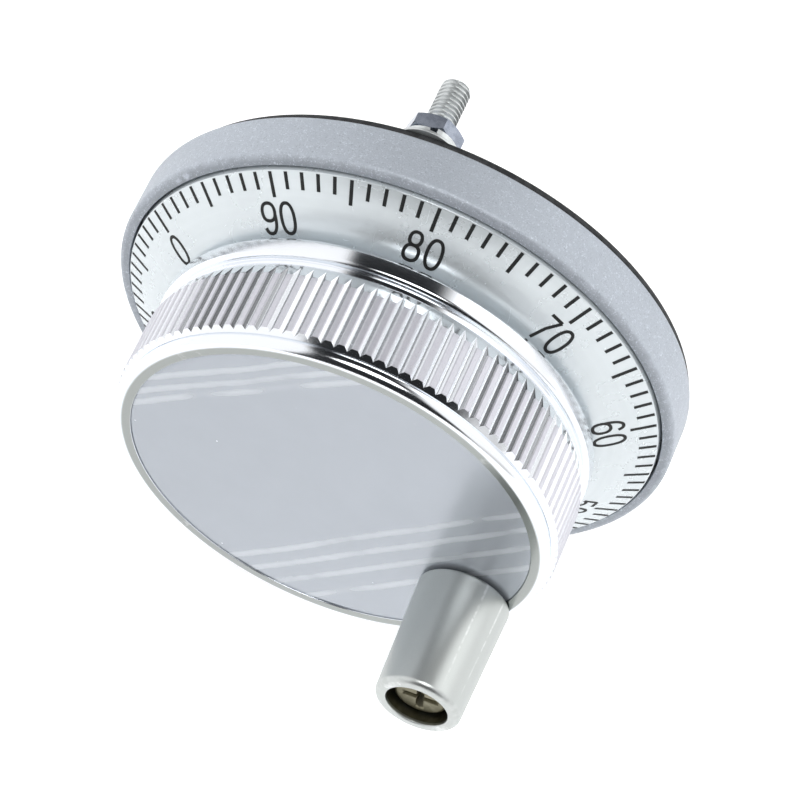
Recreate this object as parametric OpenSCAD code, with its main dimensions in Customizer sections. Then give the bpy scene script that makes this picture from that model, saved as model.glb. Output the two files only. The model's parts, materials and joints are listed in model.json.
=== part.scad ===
// Panel-mounted manual pulse generator: an electronic handwheel with a
// conical hundred-mark dial, a knurled knob and a free-turning crank grip.
// The spindle lies along Y, the face looks towards -Y and +Z is 12 o'clock.
// Every piece is drawn upright, in spindle coordinates: x to the right and y
// up as seen from the front, z forward from the flange's rear face.
// place() then turns it and brings the panel plane to y = 0.

/* [Flange] */
// Radius of the flange that covers the panel cut-out
flange_r = 40; // [38.5:0.5:48]
// Height of the flange from its rear face to its bezel edge
flange_h = 7.1; // [6.6:0.1:9]
// Thickness of the flange web behind the dial
web_t = 3.6; // [3:0.1:4.2]
// Width of the bezel land around the dial
bezel_w = 1.55; // [1.2:0.05:3]
// Drop of the rounded bezel edge
bezel_round = 0.85; // [0.3:0.05:1.1]
// Radius of the opening in the web that takes the bearing carrier
web_bore_r = 27.5; // [24:0.5:29]

/* [Gasket] */
// Thickness of the panel gasket
gasket_t = 1; // [0.5:0.1:2]
// Inset of the gasket's edge from the flange's edge
gasket_inset = 0.75; // [0.4:0.05:2]
// How far the loose gasket lies off centre
gasket_shift = 0.6; // [0:0.05:0.8]
// Clearance between the gasket and a stud
gasket_hole_gap = 0.8; // [0.7:0.05:1.5]

/* [Mounting studs] */
// Diameter of the circle through the three studs
stud_pcd = 72; // [62:0.5:74]
// Thread radius of a stud
stud_r = 2; // [1.5:0.25:2.5]
// Reach of a stud behind the flange
stud_reach = 12.65; // [11:0.05:20]
// Depth of a stud's end in the flange
stud_grip = 3; // [2:0.1:3.2]
// Thickness of a flat washer
washer_t = 0.5; // [0.5:0.1:1.2]
// Outer radius of a flat washer
washer_r = 4.5; // [3.8:0.1:5]
// Height of a split spring washer as it stands under its nut
spring_washer_h = 1.1; // [1:0.1:2.2]
// Outer radius of a spring washer
spring_washer_r = 3.8; // [3.4:0.1:4.2]
// Height of a nut
nut_h = 2.2; // [2:0.1:4]
// Width of a nut across its flats
nut_flats = 7; // [6:0.5:8]

/* [Dial] */
// Gap between the dial's edge and the bezel
dial_edge_gap = 0.35; // [0.2:0.05:0.8]
// Height of the dial's outer edge above the flange's rear face
dial_edge_z = 7.5; // [7.2:0.1:9]
// Rise of the dial's face towards the knob, in degrees
dial_slope = 29.3; // [20:0.1:32]
// Radius where the cone ends and the knob's seat starts
dial_seat_r = 30; // [29.6:0.1:31]
// Wall thickness of the dial, along the spindle
dial_wall = 2; // [1.4:0.1:2.4]
// Radius of the hole through the dial
dial_bore_r = 25.5; // [24:0.1:26.5]
// Depth of the dial's outer edge
dial_edge_h = 2.9; // [2:0.1:3.2]

/* [Knob] */
// Radius over the knurl's lands
knob_r = 31.3; // [30.8:0.1:32]
// Length of the knurled band
knurl_l = 8.5; // [7:0.1:10]
// Number of grooves in the knurl
knurl_count = 110; // [60:2:120]
// Depth of a knurl groove
knurl_depth = 0.47; // [0.25:0.01:0.6]
// Share of the pitch that a groove takes
knurl_share = 0.64; // [0.5:0.01:0.75]
// Length of the taper behind the knurl
rear_taper_l = 2.35; // [1.5:0.05:3]
// Drop of the taper behind the knurl
rear_taper_drop = 0.65; // [0.5:0.05:0.9]
// Chamfer in front of the knurl
front_chamfer = 0.75; // [0.5:0.05:1]
// Radius of the skirt at the dial
skirt_r = 31.1; // [30.5:0.1:31.8]
// Length of the skirt
skirt_l = 3.35; // [2.6:0.05:4]
// Width of the groove between the skirt and the taper
neck_w = 1.3; // [0.8:0.1:2]
// Depth of the groove between the skirt and the taper
neck_depth = 0.9; // [0.5:0.1:1.4]
// Height of the rounded front rim
rim_h = 1.5; // [1:0.1:2.2]
// Radial width of the rim's rounded edge
rim_round = 1.1; // [0.6:0.1:1.4]
// Radius of the knob's cavity
cavity_r = 26.6; // [25:0.1:27.2]
// Thickness of the knob's front wall behind the plate
front_wall = 3.4; // [2.8:0.1:4.5]
// Radius of the knob's central boss
boss_r = 8; // [6.5:0.5:10]

/* [Face plate] */
// Radius of the inlaid face plate
plate_r = 28.25; // [26:0.05:28.6]
// Thickness of the face plate
plate_t = 1; // [0.6:0.1:1.5]
// Radial gap round the face plate
plate_gap = 0.1; // [0.05:0.01:0.2]
// How far the plate lies below the rim
plate_sink = 0.2; // [0.1:0.05:0.5]

/* [Crank grip] */
// Distance of the grip's axis from the face plate's edge
crank_inset = 4.05; // [3.5:0.05:8]
// Place of the grip at rest, in degrees from 3 o'clock
crank_angle = -34; // [-180:1:180]
// Length of the grip
grip_l = 18; // [16:0.5:40]
// Radius of the grip at its foot
grip_foot_r = 6.5; // [5.5:0.1:7]
// Radius of the grip at its end
grip_end_r = 5.95; // [5:0.05:6.4]
// Radius of the grip's bore
grip_bore_r = 2.55; // [2.3:0.05:3]
// Running clearance of the grip on its screw
grip_clearance = 0.05; // [0.02:0.01:0.1]
// Radius of the recess for the screw's head
recess_r = 4.35; // [4:0.05:4.6]
// Depth of the recess for the screw's head
recess_d = 3.5; // [2.6:0.1:5]
// Radius of the screw's head
crank_head_r = 3.75; // [3.2:0.05:3.8]
// Height of the screw's head
crank_head_h = 1.9; // [1.4:0.1:2.4]
// Thickness of the washer under the grip
grip_washer_t = 0.35; // [0.2:0.05:0.6]
// Length of the screw's thread
crank_thread_l = 5; // [3.5:0.1:5.5]

/* [Spindle and bearings] */
// Radius of the spindle in its bearings
spindle_r = 3; // [2.5:0.5:4]
// Ring width of a ball bearing
bearing_w = 5; // [4:0.5:6]
// Outer radius of a ball bearing
bearing_r = 7.5; // [7:0.5:9]
// Radial thickness of a bearing ring
race_t = 1.3; // [1:0.1:1.4]
// Number of balls in a bearing
ball_count = 7; // [6:1:8]
// Clearance between a ball and its groove
ball_gap = 0.05; // [0.03:0.01:0.08]
// Distance between the two bearings
bearing_gap = 5.5; // [4:0.5:6.5]
// Wall of the tower round the bearings
tower_wall = 3.5; // [2.5:0.5:5]

/* [Detent] */
// Number of clicks in a turn
detent_count = 100; // [25:25:100]
// Radius over the detent rotor's teeth
rotor_r = 16.8; // [14:0.1:17.5]
// Thickness of the detent rotor
rotor_t = 2; // [1.5:0.1:2.4]
// Depth of a detent tooth
tooth_depth = 0.6; // [0.3:0.05:0.8]
// Air gap between the rotor and its magnet
magnet_gap = 0.6; // [0.4:0.1:1]
// Width of the magnet
magnet_w = 8; // [5:0.5:10]

/* [Encoder] */
// Radius of the glass code disc
disc_r = 19.5; // [16:0.5:20]
// Thickness of the code disc
disc_t = 0.6; // [0.4:0.1:1]
// Slot clearance each side of the code disc
disc_gap = 0.6; // [0.4:0.1:0.8]
// Distance from the carrier to the circuit board
board_z = 6; // [5.6:0.1:7]
// Thickness of the circuit board
board_t = 1.6; // [1:0.2:2]

/* [Rear cover] */
// Outer radius of the rear cover
cover_r = 27; // [26:0.1:27.3]
// Wall of the rear cover
cover_wall = 1.6; // [1.2:0.1:2]
// Depth of the rear cover
cover_depth = 9.6; // [9.4:0.1:14]
// Number of wire terminals
terminal_count = 6; // [4:1:7]
// Distance between terminals
terminal_pitch = 4.2; // [3.8:0.1:5]
// Height of the terminal block above the circuit board
terminal_h = 5.8; // [5:0.1:8]

/* [Hidden] */
$fn = 96;

// A hair's clearance between pieces of one body that fit together
slip = 0.02;
// Clearance round a screw in a hole that it passes through
screw_gap = 0.1;
// How far a tapped hole runs on past its screw's end
tap_runout = 0.4;
// Overrun of a cutting solid past the face that it cuts
over = 1;
// Number and place of the studs, and of the screws that sit between them
stud_count = 3;
stud_turn = 90;
screw_turn = stud_turn - 180 / stud_count;
// Clearance of a washer round its stud
washer_slack = 0.25;
// Thread pitch of a stud. Where a nut or the flange grips it, stud and hole
// are drawn at the thread's mean radius, and elsewhere at its outer radius
stud_pitch = 0.7;
stud_mean_r = stud_r - 0.325 * stud_pitch;
stud_tip = 0.4;
nut_z = -gasket_t - washer_t - spring_washer_h;
// Angle from the spindle's horizontal to a corner of each nut
nut_turn = 8;
// Wire height of a spring washer
spring_washer_t = 0.8;
// Height of the bezel's land above its rounded edge
bezel_rise = 0.35;
// Direction in which the loose gasket has slipped
gasket_turn = 59;

// Small screws: thread radius, head radius, head height
m2 = [1, 1.9, 1.3];
m25 = [1.25, 2.2, 1.4];
driver_slot = 0.6;
driver_depth = 0.6;

// Dial heights
dial_r = flange_r - bezel_w - dial_edge_gap;
dial_rise = (dial_r - dial_seat_r) * tan(dial_slope);
knob_z = dial_edge_z + dial_rise;
dial_bevel = 0.2;
dial_skirt_w = 1.8;

// Knob heights, from the dial's seat forward
undercut_r = skirt_r - 1.8;
dial_screw_r = (undercut_r + cavity_r) / 2;
undercut_h = 0.7;
skirt_round = 0.6;
neck_r = skirt_r - neck_depth;
neck_lead = 0.2;
skirt_top_z = knob_z + skirt_l;
taper_z = skirt_top_z + neck_w;
knurl_z = taper_z + rear_taper_l;
knurl_end_z = knurl_z + knurl_l;
chamfer_end_z = knurl_end_z + front_chamfer;
line_w = 0.3;
line_depth = 0.25;
// The turned blank stands this far proud of the lands before they are cut
blank = 0.2;
// The core under the grooves is this much smaller than their floors
core_gap = 0.3;
rim_z = chamfer_end_z + line_w + rim_h;
plate_z = rim_z - plate_sink;
seat_z = plate_z - plate_t;
ceiling_z = seat_z - front_wall;
line_r = knob_r - front_chamfer - line_depth;
rim_r = knob_r - front_chamfer;

// Bearings and the tower round them
circlip_t = 0.6;
bearing_z = 1;
circlip_z = bearing_z - circlip_t - slip / 2;
front_bearing_z = bearing_z + bearing_w + bearing_gap;
tower_r = bearing_r + tower_wall;
tower_lip = 0.5;
ledge_w = 0.9;
tower_z = front_bearing_z + bearing_w + tower_lip;
ledge_r = bearing_r - ledge_w;
circlip_w = 1.4;
housing_circlip_gap = 5;
spindle_circlip_gap = 3;
ball_pitch_r = (spindle_r + bearing_r) / 2;
// Radius of a ball as a share of the distance from the spindle to the bearing's outside
ball_share = 0.265;
ball_r = (bearing_r - spindle_r) * ball_share;
spacer_wall = 1;
cage_w = 0.7;
cage_h = 1.6;
housing_groove_r = bearing_r + 0.4;
spindle_groove_r = spindle_r - 0.4;
lip_r = web_bore_r + 3.5;
lip_t = 1.5;
floor_z = web_t + lip_t;
carrier_r = web_bore_r - 0.1;
lip_screw_r = web_bore_r + 1.7;
lip_screw_l = 2.8;

// Spindle steps
collar_r = spindle_r + 2;
collar_z = tower_z - 0.4;
collar_t = 1;
rotor_z = collar_z + collar_t;
front_seat_r = spindle_r + 1;
boss_z = rotor_z + rotor_t;
head_z = ceiling_z + 1;
knob_screw_r = 2;
knob_head_r = 3.8;
knob_head_h = 2.2;
head_gap = 0.3;
hex_socket_r = 1.5;
hex_socket_d = 1.4;
spindle_end_z = max(boss_z + 1, ceiling_z - 1.8);
tap_z = rotor_z - 0.8;

// Encoder, behind the carrier
reader_foot = 1.8;
disc_z = -board_z + reader_foot + disc_gap;
hub_boss_r = spindle_r + 1.95;
hub_flange_r = hub_boss_r + 3;
hub_flange_t = 1.2;
hub_tail = 1;
spindle_rear_z = disc_z - hub_tail - tap_runout / 2;
set_screw_r = 0.5;
cover_screw_r = disc_r + 3.1;
spacer_r = 2.3;
spacer_bore_r = m25[0] + screw_gap;
board_r = cover_r - cover_wall - 0.6;
cover_floor_z = -cover_depth + cover_wall;
board_back_z = -board_z - board_t;
screw_bite = 4;
reader_w = 10;
reader_back = 1.4;
reader_in_r = disc_r - 3;
reader_arm = 1.4;
reader_top = reader_foot + 2 * disc_gap + disc_t + reader_arm;

// Terminals
block_w = terminal_count * terminal_pitch + 1.6;
block_d = 8;
block_gap = 0.2;
terminal_bore_r = terminal_pitch * 0.36;
terminal_screw_r = terminal_bore_r - screw_gap;
terminal_screw_h = 2;
terminal_screw_z = board_back_z - terminal_h + 0.4;
terminal_floor = 1.5;
terminal_y = -9;
wire_w = terminal_pitch * 0.55;
wire_lip = 1;

// Magnet on its bracket
bracket_t = 1.2;
magnet_t = 2.6;
magnet_h = rotor_t + 1.6;
magnet_z = rotor_z + (rotor_t - magnet_h) / 2;
magnet_inset = 0.5;
magnet_y = rotor_r + magnet_gap;
upright_y = magnet_y + magnet_t;
foot_y = tower_r + 1.2;
bracket_screw_y = foot_y + 3;

// Grip and its screw
crank_boss_r = 5.2;
crank_boss_z = seat_z - crank_thread_l - 1;
crank_shoulder_r = grip_bore_r - grip_clearance;
crank_thread_r = 2;
grip_play = 0.05;
crank_r = plate_r - crank_inset;
grip_washer_r = crank_inset - 0.15;
head_bevel = 0.5;
grip_z = plate_z + grip_washer_t + grip_play;
grip_end_z = grip_z + grip_l;
grip_seat_z = grip_end_z - recess_d;
grip_round = 0.8;
grip_foot_chamfer = 0.3;
recess_chamfer = 0.2;
cross_w = 1.1;
cross_l = 5.2;
cross_d = 1.2;

// Turns the upright spindle coordinates into the panel's
module place() {
    rotate([90, 0, 0]) translate([0, 0, gasket_t]) children();
}

// Copies its children round the spindle
module around(count, start = 0) {
    for (i = [0 : count - 1]) rotate(start + 360 * i / count) children();
}

// A cylinder from one height to another
module rod(r, z0, z1) {
    translate([0, 0, z0]) cylinder(r = r, h = z1 - z0);
}

// A tube from one height to another
module tube(r_out, r_in, z0, z1) {
    difference() {
        rod(r_out, z0, z1);
        rod(r_in, z0 - over, z1 + over);
    }
}

// A block centred on the y axis, from y0 to y1 and z0 to z1
module bar(w, y0, y1, z0, z1) {
    translate([-w / 2, y0, z0]) cube([w, y1 - y0, z1 - z0]);
}

// Points along an arc in the profile plane, from angle a0 to angle a1
function arc(c, r, a0, a1, n) =
    [for (i = [0 : n]) c + r * [cos(a0 + (a1 - a0) * i / n), sin(a0 + (a1 - a0) * i / n)]];

// A pan-head screw: its head stands on z, its thread goes down to z - length
module screw(size, z, length) {
    difference() {
        union() {
            rod(size[0], z - length, z + size[2] / 2);
            rod(size[1], z, z + size[2]);
        }
        for (turn = [0, 90])
            rotate(turn) bar(driver_slot, -size[1] * 0.6, size[1] * 0.6,
                z + size[2] - driver_depth, z + size[2] + over);
    }
}

// A ring with a gap, as a circlip has
module circlip(r_out, r_in, z, gap_w) {
    difference() {
        tube(r_out, r_in, z, z + circlip_t);
        bar(gap_w, 0, r_out + over, z - over, z + circlip_t + over);
    }
}

// Bearing ring, grooved for the balls, on either side of the ball circle
module race(r_out, r_in, z) {
    rotate_extrude() difference() {
        translate([r_in, z]) square([r_out - r_in, bearing_w]);
        translate([ball_pitch_r, z + bearing_w / 2]) circle(r = ball_r + ball_gap, $fn = 48);
    }
}

// Balls in their cage
module ball_set(z) {
    mid = z + bearing_w / 2;
    tube(ball_pitch_r + cage_w / 2, ball_pitch_r - cage_w / 2, mid - cage_h / 2, mid + cage_h / 2);
    around(ball_count) translate([ball_pitch_r, 0, mid]) sphere(r = ball_r, $fn = 48);
}

module flange() {
    color("#b9c2c6") place() difference() {
        rotate_extrude() polygon(concat(
            [[web_bore_r, 0], [flange_r, 0]],
            arc([flange_r - bezel_round, flange_h - bezel_rise - bezel_round], bezel_round, 0, 90, 8),
            [[flange_r - bezel_w, flange_h], [flange_r - bezel_w, web_t], [web_bore_r, web_t]]));
        around(stud_count, stud_turn) translate([stud_pcd / 2, 0, 0])
            rod(stud_mean_r + slip, -over, stud_grip);
        around(stud_count, screw_turn) translate([lip_screw_r, 0, 0])
            rod(m25[0] + slip, web_t - lip_screw_l, web_t + over);
    }
}

module gasket() {
    gasket_r = flange_r - gasket_inset;
    shift = gasket_shift * [cos(gasket_turn), sin(gasket_turn), 0];
    color("#15171a") place() difference() {
        translate(shift) rod(gasket_r, -gasket_t, 0);
        rod(web_bore_r + 1, -gasket_t - over, over);
        around(stud_count, stud_turn) translate([stud_pcd / 2, 0, 0])
            rod(stud_r + gasket_hole_gap, -gasket_t - over, over);
    }
}

module mounting_studs() {
    color("#a9aeb0") place() around(stud_count, stud_turn) translate([stud_pcd / 2, 0, 0]) {
        rod(stud_mean_r, nut_z - nut_h, stud_grip - slip);
        rod(stud_r, stud_tip - stud_reach, nut_z - nut_h);
        translate([0, 0, -stud_reach]) cylinder(r1 = stud_r - stud_tip, r2 = stud_r, h = stud_tip);
    }
}

module flat_washers() {
    color("#b4b8ba") place() around(stud_count, stud_turn) translate([stud_pcd / 2, 0, 0])
        tube(washer_r, stud_r + washer_slack, -gasket_t - washer_t, -gasket_t);
}

// One turn of square wire that climbs towards the nut, with its ends apart
module spring_washer() {
    n = 32;
    r_in = stud_r + washer_slack;
    rise = spring_washer_h - spring_washer_t;
    turn = 345;
    corners = [[r_in, 0], [spring_washer_r, 0], [spring_washer_r, spring_washer_t],
        [r_in, spring_washer_t]];
    points = [for (i = [0 : n], c = corners)
        [c[0] * cos(turn * i / n), c[0] * sin(turn * i / n), -c[1] - rise * i / n]];
    sides = [for (i = [0 : n - 1], k = [0 : 3])
        [4 * i + k, 4 * i + (k + 1) % 4, 4 * i + 4 + (k + 1) % 4, 4 * i + 4 + k]];
    polyhedron(points, concat([[3, 2, 1, 0]], sides, [[4 * n, 4 * n + 1, 4 * n + 2, 4 * n + 3]]));
}

module spring_washers() {
    color("#8d9295") place() around(stud_count, stud_turn)
        translate([stud_pcd / 2, 0, -gasket_t - washer_t]) spring_washer();
}

module hex_nuts() {
    z0 = nut_z - nut_h;
    flat_r = nut_flats / 2;
    corner_r = flat_r / cos(30) + slip;
    bevel = (corner_r - flat_r) * tan(30);
    color("#9aa0a4") place() around(stud_count, stud_turn) translate([stud_pcd / 2, 0, 0])
        difference() {
            intersection() {
                translate([0, 0, z0]) rotate(nut_turn)
                    cylinder(r = flat_r / cos(30), h = nut_h, $fn = 6);
                rotate_extrude() polygon([[0, z0], [flat_r, z0], [corner_r, z0 + bevel],
                    [corner_r, nut_z - bevel], [flat_r, nut_z], [0, nut_z]]);
            }
            rod(stud_mean_r + slip, z0 - over, nut_z + over);
        }
}

module bearing_carrier() {
    color("#8f979b") place() difference() {
        union() {
            rod(carrier_r, 0, floor_z);
            rod(lip_r, web_t, floor_z);
            rod(tower_r, 0, tower_z);
        }
        rod(bearing_r, -over, bearing_z + bearing_w);
        rod(ledge_r, -over, tower_z + over);
        rod(bearing_r, front_bearing_z, tower_z + over);
        rod(housing_groove_r, circlip_z - slip / 2, bearing_z);
        around(stud_count, screw_turn) {
            translate([cover_screw_r, 0, 0]) rod(m25[0] + slip, -over, screw_bite);
            translate([lip_screw_r, 0, 0]) rod(m25[0] + screw_gap, web_t - over, floor_z + over);
        }
        translate([0, bracket_screw_y, 0])
            rod(m2[0] + slip, floor_z - screw_bite, floor_z + over);
    }
}

module carrier_screws() {
    color("#6b6f73") place() around(stud_count, screw_turn) translate([lip_screw_r, 0, 0])
        screw(m25, floor_z, lip_t + lip_screw_l - tap_runout);
}

module front_outer_race() {
    color("#c9cdd0") place() race(bearing_r - slip, bearing_r - race_t, front_bearing_z);
}

module rear_outer_race() {
    color("#c9cdd0") place() race(bearing_r - slip, bearing_r - race_t, bearing_z);
}

module housing_circlip() {
    color("#4c4f52") place()
        circlip(housing_groove_r - slip, housing_groove_r - circlip_w, circlip_z, housing_circlip_gap);
}

module magnet_bracket() {
    color("#9da2a5") place() difference() {
        union() {
            bar(magnet_w, foot_y, upright_y + bracket_t, floor_z, floor_z + bracket_t);
            bar(magnet_w, upright_y, upright_y + bracket_t, floor_z, magnet_z + magnet_h);
        }
        translate([0, bracket_screw_y, 0])
            rod(m2[0] + screw_gap, floor_z - over, floor_z + bracket_t + over);
    }
}

module bracket_screw() {
    color("#6b6f73") place() translate([0, bracket_screw_y, 0])
        screw(m2, floor_z + bracket_t, bracket_t + screw_bite - tap_runout);
}

module detent_magnet() {
    color("#3c3f44") place()
        bar(magnet_w - 2 * magnet_inset, magnet_y, upright_y, magnet_z, magnet_z + magnet_h);
}

module circuit_board() {
    color("#1e5c3a") place() difference() {
        rod(board_r, board_back_z, -board_z);
        around(stud_count, screw_turn) translate([cover_screw_r, 0, 0])
            rod(spacer_bore_r, board_back_z - over, over - board_z);
    }
}

module board_spacers() {
    color("#c2a14d") place() around(stud_count, screw_turn) translate([cover_screw_r, 0, 0])
        tube(spacer_r, spacer_bore_r, -board_z, 0);
}

// A block that stands on the board, with a slot that the code disc's edge runs in
module optical_reader() {
    slot_z = -board_z + reader_foot;
    color("#202326") place() rotate(screw_turn + 180) difference() {
        bar(reader_w, reader_in_r, disc_r + disc_gap + reader_back, -board_z, reader_top - board_z);
        bar(reader_w + 2 * over, reader_in_r - over, disc_r + disc_gap,
            slot_z, slot_z + 2 * disc_gap + disc_t);
    }
}

// A row of wire terminals: each has a screw well behind and a wire hole below
module terminal_block() {
    front = board_back_z;
    back = front - terminal_h;
    color("#2d7a4a") place() difference() {
        bar(block_w, terminal_y - block_d / 2, terminal_y + block_d / 2, back, front);
        for (i = [0 : terminal_count - 1])
            translate([(i - (terminal_count - 1) / 2) * terminal_pitch, terminal_y, 0]) {
                rod(terminal_bore_r, back - over, front - terminal_floor);
                bar(wire_w, -block_d / 2 - over, 0, back + wire_lip, back + wire_lip + wire_w);
            }
    }
}

module terminal_screws() {
    slot_z = terminal_screw_z + driver_depth;
    color("#b9bdc0") place() for (i = [0 : terminal_count - 1])
        translate([(i - (terminal_count - 1) / 2) * terminal_pitch, terminal_y, 0]) difference() {
            rod(terminal_screw_r, terminal_screw_z, terminal_screw_z + terminal_screw_h);
            bar(driver_slot, -terminal_screw_r - over, terminal_screw_r + over,
                terminal_screw_z - over, slot_z);
        }
}

module rear_cover() {
    pillar_r = spacer_r + 0.3;
    corner = 1;
    color("#1b1d20") place() difference() {
        union() {
            difference() {
                rotate_extrude() polygon(concat([[0, -cover_depth]],
                    arc([cover_r - corner, corner - cover_depth], corner, -90, 0, 6),
                    [[cover_r, 0], [0, 0]]));
                rod(cover_r - cover_wall, cover_floor_z, over);
            }
            around(stud_count, screw_turn) translate([cover_screw_r, 0, 0])
                rod(pillar_r, cover_floor_z - cover_wall / 2, board_back_z);
        }
        around(stud_count, screw_turn) translate([cover_screw_r, 0, 0])
            rod(spacer_bore_r, -cover_depth - over, over);
        bar(block_w + 2 * block_gap, terminal_y - block_d / 2 - block_gap,
            terminal_y + block_d / 2 + block_gap, -cover_depth - over, cover_floor_z + over);
    }
}

module cover_screws() {
    color("#8c9093") place() around(stud_count, screw_turn) translate([cover_screw_r, 0, -cover_depth])
        mirror([0, 0, 1]) screw(m25, 0, cover_depth + screw_bite - tap_runout);
}

module front_ball_set() {
    color("#d5d8da") place() ball_set(front_bearing_z);
}

module rear_ball_set() {
    color("#d5d8da") place() ball_set(bearing_z);
}

module spindle() {
    color("#a3a8ab") place() difference() {
        union() {
            rod(spindle_r, spindle_rear_z, collar_z);
            rod(collar_r, collar_z, rotor_z);
            rod(front_seat_r, rotor_z, spindle_end_z);
        }
        tube(spindle_r + over, spindle_groove_r, circlip_z - slip / 2, bearing_z);
        rod(knob_screw_r + slip, tap_z, spindle_end_z + over);
    }
}

module front_inner_race() {
    color("#c9cdd0") place() race(spindle_r + race_t, spindle_r + slip, front_bearing_z);
}

module rear_inner_race() {
    color("#c9cdd0") place() race(spindle_r + race_t, spindle_r + slip, bearing_z);
}

module race_spacer() {
    color("#9fa5a8") place()
        tube(spindle_r + spacer_wall, spindle_r + slip, bearing_z + bearing_w, front_bearing_z);
}

module spindle_circlip() {
    color("#4c4f52") place()
        circlip(spindle_groove_r + circlip_w, spindle_groove_r + slip, circlip_z, spindle_circlip_gap);
}

// A steel disc with one tooth for each click
module detent_rotor() {
    step = 360 / detent_count;
    color("#7d8388") place() difference() {
        translate([0, 0, rotor_z]) linear_extrude(rotor_t)
            polygon([for (i = [0 : detent_count - 1], k = [0 : 3])
                (k == 0 || k == 3 ? rotor_r - tooth_depth : rotor_r)
                * [cos(step * (i + k * 0.2)), sin(step * (i + k * 0.2))]]);
        rod(front_seat_r + slip, rotor_z - over, boss_z + over);
    }
}

module code_hub() {
    color("#aab0b3") place() difference() {
        union() {
            rod(hub_boss_r, disc_z - hub_tail, disc_z + disc_t + hub_flange_t);
            rod(hub_flange_r, disc_z + disc_t, disc_z + disc_t + hub_flange_t);
        }
        rod(spindle_r + slip, disc_z - hub_tail - over, disc_z + disc_t + hub_flange_t + over);
        translate([0, 0, disc_z + disc_t + hub_flange_t / 2]) rotate([-90, 0, 0])
            cylinder(r = set_screw_r, h = hub_flange_r + over, $fn = 32);
    }
}

module code_disc() {
    color("#b8c7cc") place()
        tube(disc_r, hub_boss_r + slip, disc_z, disc_z + disc_t);
}

module hub_set_screw() {
    color("#4a4d50") place() translate([0, 0, disc_z + disc_t + hub_flange_t / 2])
        rotate([-90, 0, 0]) translate([0, 0, spindle_r + slip])
        cylinder(r = set_screw_r - slip, h = hub_flange_r - spindle_r - tap_runout, $fn = 32);
}

// Cross-section of the knurled band: flat lands with V grooves between them
module knurl_outline() {
    step = 360 / knurl_count;
    land = step * (1 - knurl_share);
    polygon([for (i = [0 : knurl_count - 1], k = [0 : 2])
        (k == 2 ? knob_r - knurl_depth : knob_r)
        * [cos(step * i + [-land / 2, land / 2, step / 2][k]),
           sin(step * i + [-land / 2, land / 2, step / 2][k])]]);
}

// Turned outline of the knob, without its knurl and its cavity
module knob_turned(band_r) {
    rotate_extrude() polygon(concat(
        [[0, knob_z], [undercut_r, knob_z]],
        arc([skirt_r - skirt_round, knob_z + undercut_h + skirt_round], skirt_round, -70, 0, 5),
        arc([skirt_r - skirt_round, skirt_top_z - skirt_round], skirt_round, 0, 80, 5),
        [[neck_r, skirt_top_z + neck_lead], [neck_r, taper_z - neck_lead],
         [knob_r - rear_taper_drop, taper_z], [band_r, knurl_z], [band_r, knurl_end_z],
         [rim_r, chamfer_end_z], [line_r, chamfer_end_z], [line_r, chamfer_end_z + line_w],
         [rim_r, chamfer_end_z + line_w]],
        arc([rim_r - rim_round, rim_z - rim_round], rim_round, 0, 90, 8),
        [[0, rim_z]]));
}

module knob_shell() {
    color("#c4cacd") place() difference() {
        union() {
            difference() {
                intersection() {
                    knob_turned(knob_r + blank);
                    union() {
                        translate([0, 0, knurl_z - rear_taper_l]) linear_extrude(
                            knurl_l + rear_taper_l + front_chamfer) knurl_outline();
                        rod(knob_r - knurl_depth - core_gap, knob_z, rim_z);
                        rod(knob_r, knob_z, taper_z);
                        rod(knob_r, chamfer_end_z, rim_z);
                    }
                }
                rod(cavity_r, knob_z - over, ceiling_z);
            }
            rod(boss_r, boss_z, ceiling_z + over);
            rotate(crank_angle) translate([crank_r, 0, 0]) intersection() {
                rod(crank_boss_r, crank_boss_z, ceiling_z + over);
                translate([-crank_r, 0, 0]) rod(cavity_r + knurl_depth, 0, ceiling_z + over);
            }
        }
        rod(plate_r + plate_gap, seat_z, rim_z + over);
        rod(front_seat_r + slip, boss_z - over, spindle_end_z + tap_runout / 2);
        rod(knob_screw_r + screw_gap, boss_z, rim_z);
        rod(knob_head_r + head_gap, head_z, rim_z);
        rotate(crank_angle) translate([crank_r, 0, 0])
            rod(crank_thread_r + slip, seat_z - crank_thread_l - tap_runout, rim_z);
        around(stud_count, screw_turn) translate([dial_screw_r, 0, 0])
            rod(m2[0] + slip, knob_z - over, knob_z + screw_bite);
    }
}

module knob_screw() {
    color("#7b8084") place() difference() {
        union() {
            rod(knob_screw_r, tap_z + tap_runout, head_z + over);
            rod(knob_head_r, head_z, head_z + knob_head_h);
        }
        translate([0, 0, head_z + knob_head_h - hex_socket_d])
            cylinder(r = hex_socket_r, h = knob_head_h, $fn = 6);
    }
}

module face_plate() {
    color("#c3cad1") place() difference() {
        rod(plate_r, seat_z, plate_z);
        rotate(crank_angle) translate([crank_r, 0, 0])
            rod(crank_shoulder_r + screw_gap, seat_z - over, plate_z + over);
    }
}

module dial_ring() {
    inner_r = dial_r - dial_skirt_w;
    rear_z = dial_edge_z - dial_edge_h;
    color("#c8d3d6") place() difference() {
        rotate_extrude() polygon([[dial_bore_r, knob_z - dial_wall], [dial_seat_r, knob_z - dial_wall],
            [inner_r, knob_z - dial_wall - (inner_r - dial_seat_r) * tan(dial_slope)],
            [inner_r, rear_z], [dial_r, rear_z], [dial_r, dial_edge_z - dial_bevel],
            [dial_r - dial_bevel, dial_edge_z + dial_bevel * tan(dial_slope)],
            [dial_seat_r, knob_z], [dial_bore_r, knob_z]]);
        around(stud_count, screw_turn) translate([dial_screw_r, 0, 0])
            rod(m2[0] + screw_gap, knob_z - dial_wall - over, knob_z + over);
    }
}

module dial_screws() {
    color("#6b6f73") place() around(stud_count, screw_turn)
        translate([dial_screw_r, 0, knob_z - dial_wall])
        mirror([0, 0, 1]) screw(m2, 0, dial_wall + screw_bite - tap_runout);
}

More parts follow.
